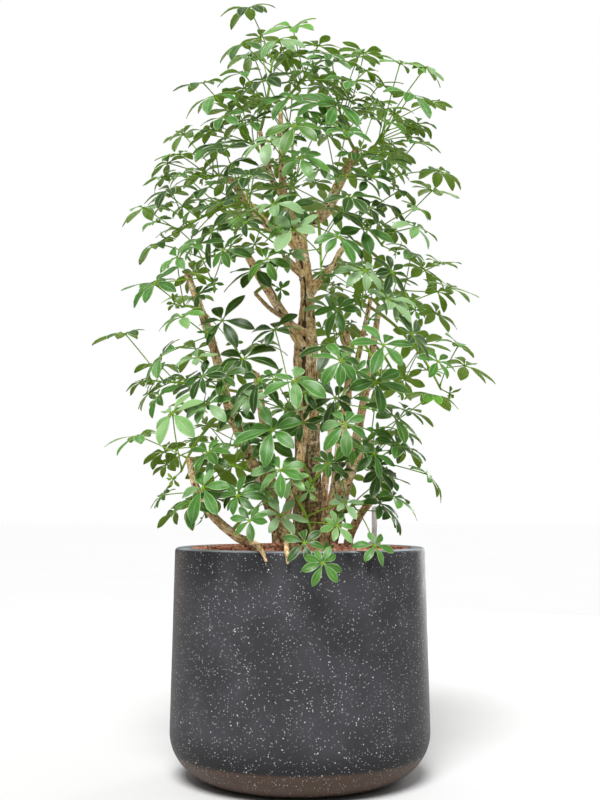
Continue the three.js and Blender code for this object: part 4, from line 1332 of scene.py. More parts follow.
def hides_trunk(hub: np.ndarray) -> bool:
    """Whether a rosette would hide the bare stretch of the trunk from the front.

    Args:
        hub: Where its leaflets meet.

    Returns:
        Whether the camera sees the hub in front of that stretch.
    """
    nearer = WINDOW_DEPTH / (WINDOW_DEPTH + hub[1])
    seen = (hub[0] * nearer, WINDOW_EYE + (hub[2] - WINDOW_EYE) * nearer)
    return all(low < place < high for place, (low, high) in zip(seen, TRUNK_WINDOW))


class Part(Enum):
    """What a mark stands on."""

    STEM = 0
    STALK = 1
    BLADE = 2


class MarkCloud:
    """Marks of what has grown so far."""

    def __init__(self, capacity: int = 90000) -> None:
        """Makes room for that many marks."""
        self.points = np.zeros((capacity, 3))
        self.owners = np.zeros(capacity, int)
        self.parts = np.zeros(capacity, int)
        self.count = 0

    def put(self, points: np.ndarray, owner: int, part: Part) -> None:
        """Adds marks.

        Args:
            points: Where they are, in mm.
            owner: The shoot that they stand on.
            part: What part of it.
        """
        end = self.count + len(points)
        self.points[self.count:end] = points
        self.owners[self.count:end] = owner
        self.parts[self.count:end] = part.value
        self.count = end

    def least(self, points: np.ndarray, owner: int, part: Part) -> float:
        """How near points come to the marks. A shoot's own stem doesn't count, nor its stalks for a stalk.

        Args:
            points: The points, in mm.
            owner: The shoot that they belong to.
            part: What part of it.

        Returns:
            The least distance, up to a cell's side.
        """
        placed = self.points[:self.count]
        near = np.all((placed > points.min(0) - MARK_CELL) & (placed < points.max(0) + MARK_CELL), axis=1)
        joined = self.parts[:self.count] == Part.STEM.value
        if part is Part.STALK:
            joined |= self.parts[:self.count] == Part.STALK.value
        others = placed[near & ~((self.owners[:self.count] == owner) & joined)]
        if not len(others):
            return MARK_CELL
        gaps = np.sqrt(((points[:, None] - others[None]) ** 2).sum(-1))
        return min(MARK_CELL, float(gaps.min()))


@dataclass
class Shoot:
    """A shoot as it has grown: its number, its row, its stem's start, bend and tip, and its leaves."""

    owner: int
    spray: Spray
    stem: Curve
    leaves: list[Leaf] = field(default_factory=list)

    def seed(self, kind: tuple[int, int, int], k: int) -> int:
        """The seed of leaf k's draws."""
        return kind[0] + self.owner * kind[1] + k * kind[2]

    def branch(self, share: float, step: float, turn: float,
               pulls: tuple[float, float, float, float]) -> tuple[np.ndarray, np.ndarray]:
        """Where a stalk leaves the stem, and which way it goes.

        Args:
            share: How far along the stem it leaves.
            step: How much further along the stem's direction is read.
            turn: Its angle round the stem, in radians.
            pulls: How strongly it goes round the stem, along it, up, and away from the plant's axis.

        Returns:
            The place and the direction.
        """
        base = bezier(self.stem, share)
        way = unit(bezier(self.stem, share + step) - base)
        across = unit(np.cross(way, [0.3, 0.1, 1.0]))
        around = across * math.cos(turn) + np.cross(way, across) * math.sin(turn)
        lift = UP * pulls[2] + outward_from(base) * pulls[3]
        return base, unit(around * pulls[0] + way * pulls[1] + lift)

    def lead_tries(self, k: int) -> Iterable[Leaf]:
        """Tries places for a leading rosette.

        Args:
            k: Its number.

        Returns:
            The leaf at the place that is stated, then round it.
        """
        base = bezier(self.stem, LEAD_AT[0] - LEAD_AT[1] * k)
        for n in range(LEAD_TRIES):
            random = seeded(self.seed(LEAD_SEED, k))
            far = 0.0 if n == 0 else LEAD_SHIFT[0] + LEAD_SHIFT[1] * n
            turn = n * LEAD_TURN
            shift = np.array([far * math.cos(turn), far * math.sin(turn), LEAD_RISE * far * ((n % 3) - 1)])
            tilt = LEAD_TILT[0] * (random() - 0.5) + LEAD_TILT[1] * ((n % 4) - 1)
            yield leaf_at(base, np.array(self.spray.leads[k], float) + shift, tilt, random)

    def leaf_tries(self, k: int) -> Iterable[Leaf]:
        """Tries places for a leaf further down.

        Args:
            k: Its number.

        Returns:
            The leaf a golden angle on, then turned or further out.
        """
        share = LEAF_AT[0] - LEAF_AT[1] * (k + LEAF_AT[2]) / self.spray.more
        half = LEAF_TRIES // 2
        for n in range(LEAF_TRIES):
            random = seeded(self.seed(LEAF_SEED, k))
            swing = (LEAF_SWING if n % 2 else -LEAF_SWING) * math.ceil((n % half) / 2)
            turn = math.radians(360 * random() + k * GOLDEN_ANGLE + swing)
            base, out = self.branch(share, 0.05, turn, LEAF_PULLS)
            longer = STALK_LONGER if n >= half else 0.0
            hub = base + out * (drawn_from(STALK_LENGTH, random) + longer)
            if not hides_trunk(hub):
                yield leaf_at(base, hub, LEAF_TILT * (random() - 0.5), random)

    def small_tries(self, k: int) -> Iterable[Leaf]:
        """Tries places for a small leaf.

        Args:
            k: Its number.

        Returns:
            The leaf anywhere along the stem's upper part.
        """
        draws = np.random.default_rng(self.seed(SMALL_SEED, k))
        for _ in range(SMALL_TRIES):
            base, out = self.branch(draws.uniform(*SMALL_AT), 0.02, draws.uniform(0, math.tau), SMALL_PULLS)
            hub = base + out * drawn_from(SMALL_STALK, draws.random)
            if not hides_trunk(hub):
                leaf = leaf_at(base, hub, draws.uniform(*SMALL_TILT), draws.random)
                yield replace(leaf, size=LEAF_LENGTH * drawn_from(SMALL_SIZE, draws.random))


def stem_of(spray: Spray) -> Curve:
    """A shoot's green stem, which rises and leans out, and arches over the rim near the planter.

    Args:
        spray: The shoot's row.

    Returns:
        Its start inside the wood, its bend, and its tip just under its leading rosettes.
    """
    start = WOOD[spray.wood].at(spray.at)[:3]
    middle = np.mean(np.array(spray.leads, float), axis=0)
    stalk = min(LEAD_STALK, float(np.linalg.norm(middle - start)) * LEAD_STALK_SHARE)
    low = share_of(LOW_ZONE, middle[2])
    outward = outward_from(middle) * (STEM_OUT[0] + STEM_OUT[1] * low)
    tip = middle - unit(outward + UP * (STEM_UP[0] + STEM_UP[1] * low)) * stalk
    run = tip - start
    rise = run[2] * STEM_BEND[1]
    if run[2] <= SHORT_RISE:
        rise = max(rise, run[2] + ARCH_HEIGHT - ARCH_EASE * max(run[2], 0.0))
    return start, start + np.array([run[0] * STEM_BEND[0], run[1] * STEM_BEND[0], rise]), tip


class Growth:
    """The whole plant's shoots, each leaf set where it is clear of the others."""

    def __init__(self) -> None:
        """Marks the wood and the stems."""
        self.wood = np.concatenate([route.line(WOOD_STEPS) for route in WOOD.values()])
        self.shoots = [Shoot(owner, spray, stem_of(spray)) for owner, spray in enumerate(SPRAYS)]
        self.mark_stems()

    def mark_stems(self) -> None:
        """Starts the marks again with those of the stems."""
        self.cloud = MarkCloud()
        for shoot in self.shoots:
            marks = [bezier(shoot.stem, i / STEM_MARKS) for i in range(2, STEM_MARKS + 1)]
            self.cloud.put(np.array(marks), shoot.owner, Part.STEM)

    def mark_leaf(self, shoot: Shoot, leaf: Leaf) -> None:
        """Adds a leaf's marks."""
        self.cloud.put(leaf.blade_marks(), shoot.owner, Part.BLADE)
        self.cloud.put(leaf.stalk_marks(), shoot.owner, Part.STALK)

    def clearance(self, stalk: np.ndarray, blade: np.ndarray, owner: int) -> float:
        """How clear a leaf is of wood and of what has grown.

        Args:
            stalk: Its stalk's marks.
            blade: Its rosette's marks.
            owner: The shoot that it belongs to.

        Returns:
            The least distance in mm, up to a cell's side.
        """
        marks = np.concatenate([stalk, blade])
        away = np.sqrt(((marks[:, None] - self.wood[None, :, :3]) ** 2).sum(-1))
        least = min(MARK_CELL, float((away - (self.wood[:, 3] - WOOD_EASE)).min()))
        if least < LEAST_CLEAR:
            return least
        least = min(least, self.cloud.least(stalk, owner, Part.STALK))
        return min(least, self.cloud.least(blade, owner, Part.BLADE))

    def place(self, shoot: Shoot, tries: Iterable[Leaf], enough: float, least: float) -> None:
        """Adds a leaf to a shoot.

        Args:
            shoot: The shoot that it belongs to.
            tries: The leaf in one place after another.
            enough: The first place that is this clear is taken, in mm.
            least: How clear the clearest place must be otherwise, in mm.
        """
        best = None
        for leaf in tries:
            stalk, blade = leaf.stalk_marks(), leaf.blade_marks()
            marks = np.concatenate([blade, stalk])
            in_planter = (marks[:, 2] < PLANTER_TOP) & (np.hypot(marks[:, 0], marks[:, 1]) < PLANTER_REACH)
            if in_planter.any() or leaf.facing[2] < LEAST_UP:
                continue
            clear = self.clearance(stalk, blade, shoot.owner)
            if best is None or clear > best[0]:
                best = (clear, leaf)
            if clear >= enough:
                break
        if best is not None and best[0] >= least:
            self.mark_leaf(shoot, best[1])
            shoot.leaves.append(best[1])

    def grow(self) -> None:
        """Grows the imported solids' leaves: every leading rosette, then the others."""
        for shoot in self.shoots:
            for k in range(len(shoot.spray.leads)):
                self.place(shoot, shoot.lead_tries(k), LEAF_CLEAR, LEAF_TIGHT)
        for shoot in self.shoots:
            for k in range(shoot.spray.more):
                self.place(shoot, shoot.leaf_tries(k), LEAF_CLEAR, LEAF_TIGHT)
        LOG.info("packed leaves: %d", sum(len(shoot.leaves) for shoot in self.shoots))

    def fill(self) -> None:
        """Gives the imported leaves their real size, and grows small leaves between them."""
        self.mark_stems()
        for shoot in self.shoots:
            kept = [leaf for k, leaf in enumerate(shoot.leaves) if (shoot.owner, k) not in LEFT_OUT]
            shoot.leaves = [leaf.fine() for leaf in kept]
            for leaf in shoot.leaves:
                self.mark_leaf(shoot, leaf)
        for shoot in self.shoots:
            for k in range(shoot.spray.small):
                self.place(shoot, shoot.small_tries(k), SMALL_CLEAR, SMALL_CLEAR)
        LOG.info("fine leaves: %d", sum(len(shoot.leaves) for shoot in self.shoots))


class BentCopies:
    """Gathers bent copies of small template meshes into one mesh."""

    def __init__(self) -> None:
        """Starts with no copies."""
        self.bm = bmesh.new()
        self.places: list[np.ndarray] = []
        self.traits: dict[str, list[np.ndarray]] = {"blade": [], "tone": []}

    def add(self, template: Mesh, places: np.ndarray, blade: np.ndarray, tone: np.ndarray) -> None:
        """Adds one copy of the template for each row of places.

        Args:
            template: The mesh that is copied.
            places: Where its vertices go, in mm, as (copies, vertices, 3).
            blade: Each vertex's share across and along its blade, and 1 underneath.
            tone: Each vertex's shade, whose palest end brings a painted sheen, its freshness and its
                woodiness.
        """
        for _ in range(len(places)):
            self.bm.from_mesh(template)
        self.places.append(places.reshape(-1, 3))
        for name, rows in {"blade": blade, "tone": tone}.items():
            self.traits[name].append(np.broadcast_to(rows, places.shape).reshape(-1, 3))

    def mesh(self, name: str) -> Mesh:
        """The mesh of all copies, in metres.

        Args:
            name: The mesh's name.

        Returns:
            The mesh.
        """
        mesh = bpy.data.meshes.new(name)
        self.bm.to_mesh(mesh)
        self.bm.free()
        traits = {trait: np.concatenate(rows) for trait, rows in self.traits.items()}
        shape_mesh(mesh, np.concatenate(self.places), traits)
        return mesh


def tube_template(sides: int, steps: int) -> Mesh:
    """A closed tube of radius 1 round the Z axis, from height 0 to 1.

    Args:
        sides: How many sides it has.
        steps: How many rings of faces.

    Returns:
        The mesh.
    """
    bm = bmesh.new()
    bmesh.ops.create_circle(bm, segments=sides, radius=1.0, cap_ends=False)
    edges = bm.edges[:]
    for _ in range(steps):
        grown = bmesh.ops.extrude_edge_only(bm, edges=edges)["geom"]
        verts = [part for part in grown if isinstance(part, bmesh.types.BMVert)]
        edges = [part for part in grown if isinstance(part, bmesh.types.BMEdge)]
        bmesh.ops.translate(bm, verts=verts, vec=(0, 0, 1 / steps))
    bmesh.ops.holes_fill(bm, edges=bm.edges, sides=0)
    bmesh.ops.recalc_face_normals(bm, faces=bm.faces)
    return mesh_from(bm, f"tube_{sides}_{steps}")


def bend_tube(template: np.ndarray, curve: Callable[[float], np.ndarray],
              radius: Callable[[float, float], float]) -> np.ndarray:
    """Bends a tube template along a curve.

    Args:
        template: The template's vertices.
        curve: The point of the centre line at a share of its length.
        radius: The radius at a share of the length and an angle round it.

    Returns:
        The vertices in place.
    """
    levels = np.unique(np.round(template[:, 2], 6))
    centres = np.array([curve(t) for t in levels])
    ways = np.gradient(centres, axis=0)
    normal = None
    frames = {}
    for level, centre, way in zip(levels, centres, ways):
        way = unit(way)
        guide = normal if normal is not None else (UP if abs(way[2]) < 0.9 else np.array([1.0, 0.0, 0.0]))
        normal = unit(guide - way * float(guide @ way))
        frames[level] = (centre, normal, np.cross(way, normal))
    placed = np.zeros_like(template)
    for i, (x, y, z) in enumerate(template):
        level = round(z, 6)
        centre, normal, other = frames[level]
        far = radius(level, math.atan2(y, x))
        placed[i] = centre + (normal * x + other * y) * far
    return placed


@dataclass(frozen=True)
class Station:
    """A point of a woody route, in mm, with two directions across the stem and the one along it.

    The name and the length are the route's, and the reach is how far along it the point is.
    """

    name: str
    place: np.ndarray
    radius: float
    axes: tuple[np.ndarray, np.ndarray, np.ndarray]
    reach: float
    length: float

    def local(self, place: np.ndarray) -> Vector:
        """A place as two distances across the stem, and one along the route."""
        across, other, along = [float((place - self.place) @ axis) for axis in self.axes]
        return Vector((across, other, self.reach + along))


@dataclass(frozen=True)
class StemNoise:
    """Noise on a stem, by its scales across and along the stem, and how far it is shifted along it."""

    across: float
    along: float
    shift: float = 0.0

    def at(self, local: Vector) -> float:
        """The noise from -1 to 1 at a place, as from Station.local."""
        x, y, z = local
        return noise.noise(Vector((x * self.across, y * self.across, z * self.along + self.shift)))


@dataclass
class WoodyStems:
    """The trunk, its branches and the other woody stems, each node's routes grown into one skin.

    Lengths are in mm and angles in radians. Cracks, plates and knots are the noises of those.

    Attributes:
        voxel: Size of the skin's faces.
        trunk_radius: A route that is thicker than this at its foot is the trunk of two strands.
        lobe_offset: How far a strand stands off the trunk's middle, as a share of its radius.
        lobe_radius: A strand's radius, as such a share.
        lobe_turn: How far the strands turn from one stated point to the next.
        swell: How much a stem swells, as a share of its radius, and the noise's scale.
        seam: How wide the strands' seam is, as the cosine of an angle, and its depth in cracks.
        cut_routes: Routes that end in a sawn face.
        cut_depth: How near a route's end its wood is sawn.
        relief_most: How far the bark stands out at most: as a share of the radius, and in all.
        crack_width: How far from 0 its noise makes a crack.
        rings: How far apart the rings of thin stems are, and the radius from which there are none.
        mossy: The height under which old wood is mossy, and how far up from it it is fully so.
        old: The radius over which wood is old, and how far up from it it is fully so.
    """

    voxel: float = 1.7
    trunk_radius: float = 20.0
    lobe_offset: float = 0.52
    lobe_radius: float = 0.64
    lobe_turn: float = 0.14
    swell: Pair = (0.1, 0.045)
    seam: Pair = (0.2, 1.5)
    cut_routes: tuple[str, ...] = ("stub", "right_stub")
    cut_depth: float = 1.2
    relief_most: Pair = (0.11, 2.1)
    cracks: StemNoise = StemNoise(0.13, 0.022)
    crack_width: float = 0.09
    plates: StemNoise = StemNoise(0.3, 0.1, 40.0)
    knots: StemNoise = StemNoise(0.07, 0.05, 90.0)
    rings: Pair = (17.0, 12.0)
    mossy: Pair = (770.0, -160.0)
    old: Pair = (7.5, 6.0)
    finish: BarkFinish = BarkFinish()

    def is_lobed(self, route: Route) -> bool:
        """Whether a route is the trunk of two strands."""
        return route.points[0][3] > self.trunk_radius

    def turned(self, route: Route, share: float, angle: float) -> float:
        """An angle round the lobed trunk, from the middle of its first strand there."""
        return angle + self.lobe_turn * share * (len(route.points) - 1) / 2

    def outline(self, route: Route) -> Callable[[float, float], float]:
        """The outline of a route's tube.

        Args:
            route: The route.

        Returns:
            What gives its radius at a share of its length and an angle round it.
        """
        lobed = self.is_lobed(route)
        most, scale = self.swell

        def radius(share: float, angle: float) -> float:
            """The radius in mm."""
            here = route.at(share)
            swell = 1 + most * noise.noise(Vector(here[:3]) * scale)
            if not lobed:
                return here[3] * swell
            turned = self.turned(route, share, angle)
            side = self.lobe_offset * math.sin(turned)
            strand = self.lobe_offset * abs(math.cos(turned)) + math.sqrt(self.lobe_radius ** 2 - side ** 2)
            return here[3] * strand * swell

        return radius

    def tubes(self, routes: Iterable[Route]) -> Mesh:
        """Plain tubes that meet inside one another.

        Args:
            routes: The routes that they follow.

        Returns:
            Their mesh.
        """
        copies = BentCopies()
        for route in routes:
            places = [point[:3] for point in route.points]
            far = sum(math.dist(a, b) for a, b in zip(places, places[1:]))
            template = tube_template(40 if self.is_lobed(route) else 20, max(4, round(far / 6)))
            bent = bend_tube(vectors_of(template), lambda t, r=route: r.at(t)[:3], self.outline(route))
            copies.add(template, bent[None], np.zeros(3), np.zeros(3))
        return copies.mesh("wood_tubes")

    def skin(self, mesh: Mesh) -> Mesh:
        """Grows one closed skin round tubes that pass through one another.

        Args:
            mesh: The tubes.

        Returns:
            The skin.
        """
        rough = linked("wood_rough", mesh)
        remesh = rough.modifiers.new("skin", "REMESH")
        remesh.mode = "VOXEL"
        remesh.voxel_size = self.voxel * MM
        smooth = rough.modifiers.new("smooth", "SMOOTH")
        smooth.iterations = 2
        smooth.factor = 0.4
        seen = rough.evaluated_get(bpy.context.evaluated_depsgraph_get())
        skin = bpy.data.meshes.new_from_object(seen)
        bpy.data.objects.remove(rough)
        return skin

    @staticmethod
    def stations(routes: dict[str, Route]) -> list[Station]:
        """Closely spaced points along routes.

        Args:
            routes: The routes, by name.

        Returns:
            The points, with a grain that runs on along each route without a twist.
        """
        found = []
        for name, route in routes.items():
            points = route.line(40)
            places = points[:, :3]
            ways = np.gradient(places, axis=0)
            reaches = np.concatenate([[0.0], np.cumsum(np.linalg.norm(np.diff(places, axis=0), axis=1))])
            normal = np.array([1.0, 0.0, 0.0])
            for point, way, reach in zip(points, ways, reaches):
                way = unit(way)
                normal = unit(normal - way * float(normal @ way))
                axes = (normal, np.cross(way, normal), way)
                found.append(Station(name, point[:3], point[3], axes, reach, reaches[-1]))
        return found

    def relief(self, local: Vector, radius: float) -> float:
        """How far the bark stands out.

        Args:
            local: The place, as from Station.local.
            radius: The stem's radius there.

        Returns:
            The relief, from -1 in a crack to about 0.6.
        """
        crack = max(0.0, 1 - abs(self.cracks.at(local)) / self.crack_width)
        plates, knots = self.plates.at(local), self.knots.at(local)
        gap, thick = self.rings
        along = (local.z + 3 * knots) % gap - gap / 2
        ring = math.exp(-(along / 1.1) ** 2) if radius < thick else 0.0
        return max(-1.0, 0.5 * plates + 0.55 * knots + 0.35 * ring - 0.9 * crack)

    def carve(self, mesh: Mesh, routes: dict[str, Route]) -> None:
        """Works the bark's cracks and rings into a skin, and notes the grain for the finish.

        Args:
            mesh: The skin.
            routes: The routes that it covers, by name.
        """
        stations = self.stations(routes)
        tree = kdtree.KDTree(len(stations))
        for i, station in enumerate(stations):
            tree.insert(station.place, i)
        tree.balance()
        places = vectors_of(mesh) / MM
        normals = vectors_of(mesh, "normal")
        grain, tone = np.zeros_like(places), np.zeros_like(places)
        for i, place in enumerate(places):
            station = stations[tree.find(place)[1]]
            route, radius = routes[station.name], station.radius
            local = station.local(place)
            cut = station.name in self.cut_routes and local.z > station.length - self.cut_depth
            relief = 0.0 if cut else self.relief(local, radius)
            if self.is_lobed(route):
                turned = self.turned(route, station.reach / station.length, math.atan2(local.y, local.x))
                relief = max(-1.0, relief - self.seam[1] * math.exp(-(math.cos(turned) / self.seam[0]) ** 2))
            places[i] += normals[i] * relief * min(self.relief_most[0] * radius, self.relief_most[1])
            grain[i] = np.array(local) * MM
            age = share_of(self.mossy, places[i, 2]) * share_of(self.old, radius)
            tone[i] = (relief, age, float(cut))
        shape_mesh(mesh, places, {"grain": grain, "tone": tone})

    def build(self) -> None:
        """Builds each woody node's skin."""
        material = self.finish.material()
        for node in sorted({route.node for route in WOOD.values()}):
            routes = {name: route for name, route in WOOD.items() if route.node == node}
            skin = self.skin(self.tubes(routes.values()))
            self.carve(skin, routes)
            skin.shade_smooth()
            skin.name = f"{node}_bark"
            add_piece(f"{node}_bark", skin, material, "bark", [node])


@dataclass
class LeafyShoots:
    """The green shoots, each with its stem, stalks, rosettes of leaflets and a young leaf.

    Lengths are in mm and angles in degrees. A pair whose name ends in draw holds the limits between which
    leaflets differ. Stem_radius is at the foot and the tip, and young_reach off the tip.

    Attributes:
        rows: Shares of a leaflet's length where its blade has points.
        stalklet: The share of a leaflet's length that is its own thin stalk.
        half_width: Half a leaflet's width, as a share of its length.
        widest: Where the blade is widest, as a share of the blade.
        bluntness: How full the outline is: smaller is blunter.
        fold: How far each half of a blade rises from the rib.
        wave: How close the waves of a blade's edge lie, and how high they are.
    """

    shoots: list[Shoot]
    rows: tuple[float, ...] = (0.0, 0.13, 0.22, 0.36, 0.52, 0.68, 0.83, 0.95, 1.0)
    stalklet: float = 0.14
    half_width: float = 0.172
    widest: float = 0.56
    bluntness: float = 0.74
    fold: float = 16.0
    wave: Pair = (9.0, 0.7)
    blade_thickness: float = 0.7
    stalklet_radius: float = 0.9
    stem_radius: Pair = (3.4, 2.0)
    stalk_radius: float = 1.2
    young_size: Pair = (20.0, 30.0)
    young_reach: Pair = (16.0, 30.0)
    turn_draw: Pair = (-9.0, 9.0)
    reach_draw: Pair = (0.82, 1.08)
    droop_draw: Pair = (-11.0, 13.0)
    curl_draw: Pair = (-8.0, 20.0)
    twist_draw: Pair = (-30.0, 30.0)
    width_draw: Pair = (0.9, 1.1)
    fold_draw: Pair = (-8.0, 8.0)
    wave_draw: Pair = (0.0, 6.0)
    seed: int = 5
    finish: FoliageFinish = FoliageFinish()

    def __post_init__(self) -> None:
        """Makes the templates that are bent into leaflets, stalks and stems."""
        self.draws = np.random.default_rng(self.seed)
        self.blade = self.blade_template()
        self.blade_points = vectors_of(self.blade)
        self.stalk = tube_template(6, 7)
        self.stalk_points = vectors_of(self.stalk)
        self.stem = tube_template(9, 16)
        self.stem_points = vectors_of(self.stem)

    def blade_template(self) -> Mesh:
        """Makes a flat leaflet, 1 thick.

        Returns:
            Its mesh, from share 0 to 1 along Y and -1 to 1 across X.
        """
        steps = len(self.rows) - 1
        bm = bmesh.new()
        bmesh.ops.create_grid(bm, x_segments=4, y_segments=steps, size=1.0)
        for vert in bm.verts:
            vert.co.y = self.rows[round((vert.co.y + 1) / 2 * steps)]
        bmesh.ops.solidify(bm, geom=bm.faces[:], thickness=1.0)
        middle = sum(vert.co.z for vert in bm.verts) / len(bm.verts)
        bmesh.ops.translate(bm, verts=bm.verts, vec=(0, 0, -middle))
        bmesh.ops.recalc_face_normals(bm, faces=bm.faces)
        for edge in bm.edges:
            level = [abs(face.normal.z) > 0.5 for face in edge.link_faces]
            edge.smooth = len(set(level)) == 1
        return mesh_from(bm, "leaflet")

    def half_at(self, shares: np.ndarray) -> np.ndarray:
        """The blade's outline.

        Args:
            shares: Shares of a leaflet's length.

        Returns:
            The blade's half width there, from 0 to 1.
        """
        blade = np.clip((shares - self.stalklet) / (1 - self.stalklet), 0, 1)
        bent = blade ** (math.log(0.5) / math.log(self.widest))
        return np.sin(np.pi * bent) ** self.bluntness

    def drawn(self, limits: Pair, leaf: Leaf) -> np.ndarray:
        """A draw between two limits for each of a leaf's leaflets, as a column."""
        return self.draws.uniform(*limits, leaf.count)[:, None]

    def leaflets(self, leaf: Leaf) -> np.ndarray:
        """Bends a leaf's leaflets.

        Args:
            leaf: The leaf.

        Returns:
            Their vertices in place, in mm, as (leaflets, vertices, 3).
        """
        x, s, z = self.blade_points.T
        turns = leaf.turns + np.radians(self.drawn(self.turn_draw, leaf))[:, 0]
        outs = leaf.outs(turns)
        reach = leaf.reaches(turns) * self.drawn(self.reach_draw, leaf)
        droop = np.radians(leaf.droop + self.drawn(self.droop_draw, leaf))
        curl = np.radians(leaf.curl + self.drawn(self.curl_draw, leaf))
        middle = leaf.ribs(outs, reach, (droop, curl), s)
        bend = (droop + curl * s)[..., None]
        normal = outs * np.sin(bend) + leaf.facing * np.cos(bend)
        across = np.cross(outs, leaf.facing)
        twist = (np.radians(self.drawn(self.twist_draw, leaf)) * s)[..., None]
        across, normal = (across * np.cos(twist) + normal * np.sin(twist),
                          normal * np.cos(twist) - across * np.sin(twist))
        width = self.half_width * np.sqrt(reach * leaf.size) * self.drawn(self.width_draw, leaf)
        half = np.maximum(width * self.half_at(s), self.stalklet_radius * (1 - 0.55 * s))
        fold = np.radians(self.fold + self.drawn(self.fold_draw, leaf))
        close, high = self.wave
        wave = np.sin(s * close + self.drawn(self.wave_draw, leaf)) * high
        lift = half * np.abs(x) * (np.tan(fold) * (1 - 0.45 * np.abs(x))) + wave * x * x * (s > self.stalklet)
        thick = np.where(s < self.stalklet, 2 * self.stalklet_radius, self.blade_thickness)
        return middle + across * (x * half)[..., None] + normal * (lift + z * thick)[..., None]

    def leaf_stalk(self, leaf: Leaf) -> np.ndarray:
        """Bends a leaf's stalk into a soft arc with a swollen foot.

        Args:
            leaf: The leaf.

        Returns:
            The stalk's vertices in place, in mm.
        """
        far = float(np.linalg.norm(leaf.hub - leaf.base))
        side = self.draws.uniform(-0.05, 0.05, 3) * far
        bend = (leaf.base + leaf.hub) / 2 + side + UP * far * 0.03
        end = leaf.hub + leaf.facing * 0.4

        def radius(share: float, _: float) -> float:
            """Thick where the stalk clasps the stem, and again under the hub."""
            foot = 1.3 * math.exp(-(share / 0.07) ** 2)
            knee = 0.45 * math.exp(-((1 - share) / 0.06) ** 2)
            return self.stalk_radius + foot + knee

        return bend_tube(self.stalk_points, lambda t: bezier((leaf.base, bend, end), t), radius)

    def young_leaf(self, shoot: Shoot) -> Leaf:
        """A small, cupped, fresh leaf.

        Args:
            shoot: The shoot whose tip it stands on.

        Returns:
            The leaf.
        """
        tip = shoot.stem[2]
        way = unit(tip - bezier(shoot.stem, 0.9))
        around = self.draws.normal(size=3)
        lean = unit(way + unit(around) * 0.5 + UP * 0.4)
        hub = tip + lean * self.draws.uniform(*self.young_reach)
        ahead, size = unit(np.cross(lean, around)), self.draws.uniform(*self.young_size)
        return Leaf(tip, hub, lean, ahead, size, count=5, droop=-34.0, curl=26.0)

    def stem_tube(self, shoot: Shoot) -> np.ndarray:
        """Bends a shoot's stem, with a swelling at each leaf.

        Args:
            shoot: The shoot.

        Returns:
            The stem's vertices in place, in mm.
        """
        def radius(share: float, _: float) -> float:
            """Tapers from the foot to the tip."""
            return between(self.stem_radius, share) * (1 + 0.1 * math.sin(share * 40) ** 4)

        return bend_tube(self.stem_points, lambda t: bezier(shoot.stem, t), radius)

    def add_leaf(self, copies: BentCopies, leaf: Leaf, fresh: float) -> None:
        """Adds a leaf's blades and stalk to a shoot.

        Args:
            copies: The shoot's mesh so far.
            leaf: The leaf.
            fresh: How fresh and bright it is.
        """
        x, s, z = self.blade_points.T
        # A leaf's shade differs at random, and its palest end brings the painted sheen; leaves low by the rim
        # keep middle shades, with little of it.
        shade = clamp(self.draws.normal(0.46, 0.3))
        if leaf.hub[2] < sum(RIM_ZONE):
            shade = 0.3 + 0.3 * shade
        tone = np.zeros((leaf.count, len(s), 3))
        tone[..., 0] = np.clip(shade + self.drawn((-0.1, 0.1), leaf), 0, 1)
        tone[..., 1] = fresh
        copies.add(self.blade, self.leaflets(leaf), np.stack([x, s, (z < 0) * 1.0], axis=1), tone)
        copies.add(self.stalk, self.leaf_stalk(leaf)[None], np.zeros(3), np.array([shade, fresh, 0.0]))

    def build(self) -> None:
        """Builds every shoot."""
        material = self.finish.material()
        woody = np.clip(0.75 - 1.5 * self.stem_points[:, 2], 0, 1)
        tone = np.stack([np.full_like(woody, 0.5), np.zeros_like(woody), woody], axis=1)
        for shoot in self.shoots:
            copies = BentCopies()
            copies.add(self.stem, self.stem_tube(shoot)[None], np.zeros(3), tone)
            for leaf in shoot.leaves:
                self.add_leaf(copies, leaf, clamp(self.draws.normal(-0.22, 0.3)))
            young = self.young_leaf(shoot)
            self.add_leaf(copies, young, self.draws.uniform(0.1, 0.5))
            number = f"{shoot.owner + 1:02d}"
            mesh = copies.mesh(f"shoot_{number}")
            add_piece(f"shoot_{number}", mesh, material, "foliage", [f"leafy_shoot_{number}"])


@dataclass(frozen=True)
class Softbox:
    """A soft studio light: its name, place, aim, width and height, power in watts, and colour."""

    name: str
    place: Point
    aim: Point
    size: Pair
    power: float
    colour: Point = (1.0, 1.0, 1.0)

    def build(self) -> None:
        """Hangs the light."""
        data = bpy.data.lights.new(self.name, "AREA")
        data.shape = "RECTANGLE"
        data.size, data.size_y = self.size
        data.energy = self.power
        data.color = self.colour
        way = Vector(self.aim) - Vector(self.place)
        turn = way.to_track_quat("-Z", "Y").to_matrix().to_4x4()
        linked(self.name, data).matrix_world = Matrix.Translation(self.place) @ turn


@dataclass(frozen=True)
class BroadLight:
    """A broad, even light over the whole floor, from above and in front. Its spread is in degrees."""

    way: Point = (-0.1, -0.72, 1.0)
    strength: float = 5.2
    spread: float = 26.0

    def build(self) -> None:
        """Hangs the light."""
        data = bpy.data.lights.new("broad_light", "SUN")
        data.energy = self.strength
        data.angle = math.radians(self.spread)
        light = linked("broad_light", data)
        light.rotation_euler = Vector(self.way).to_track_quat("Z", "Y").to_euler()


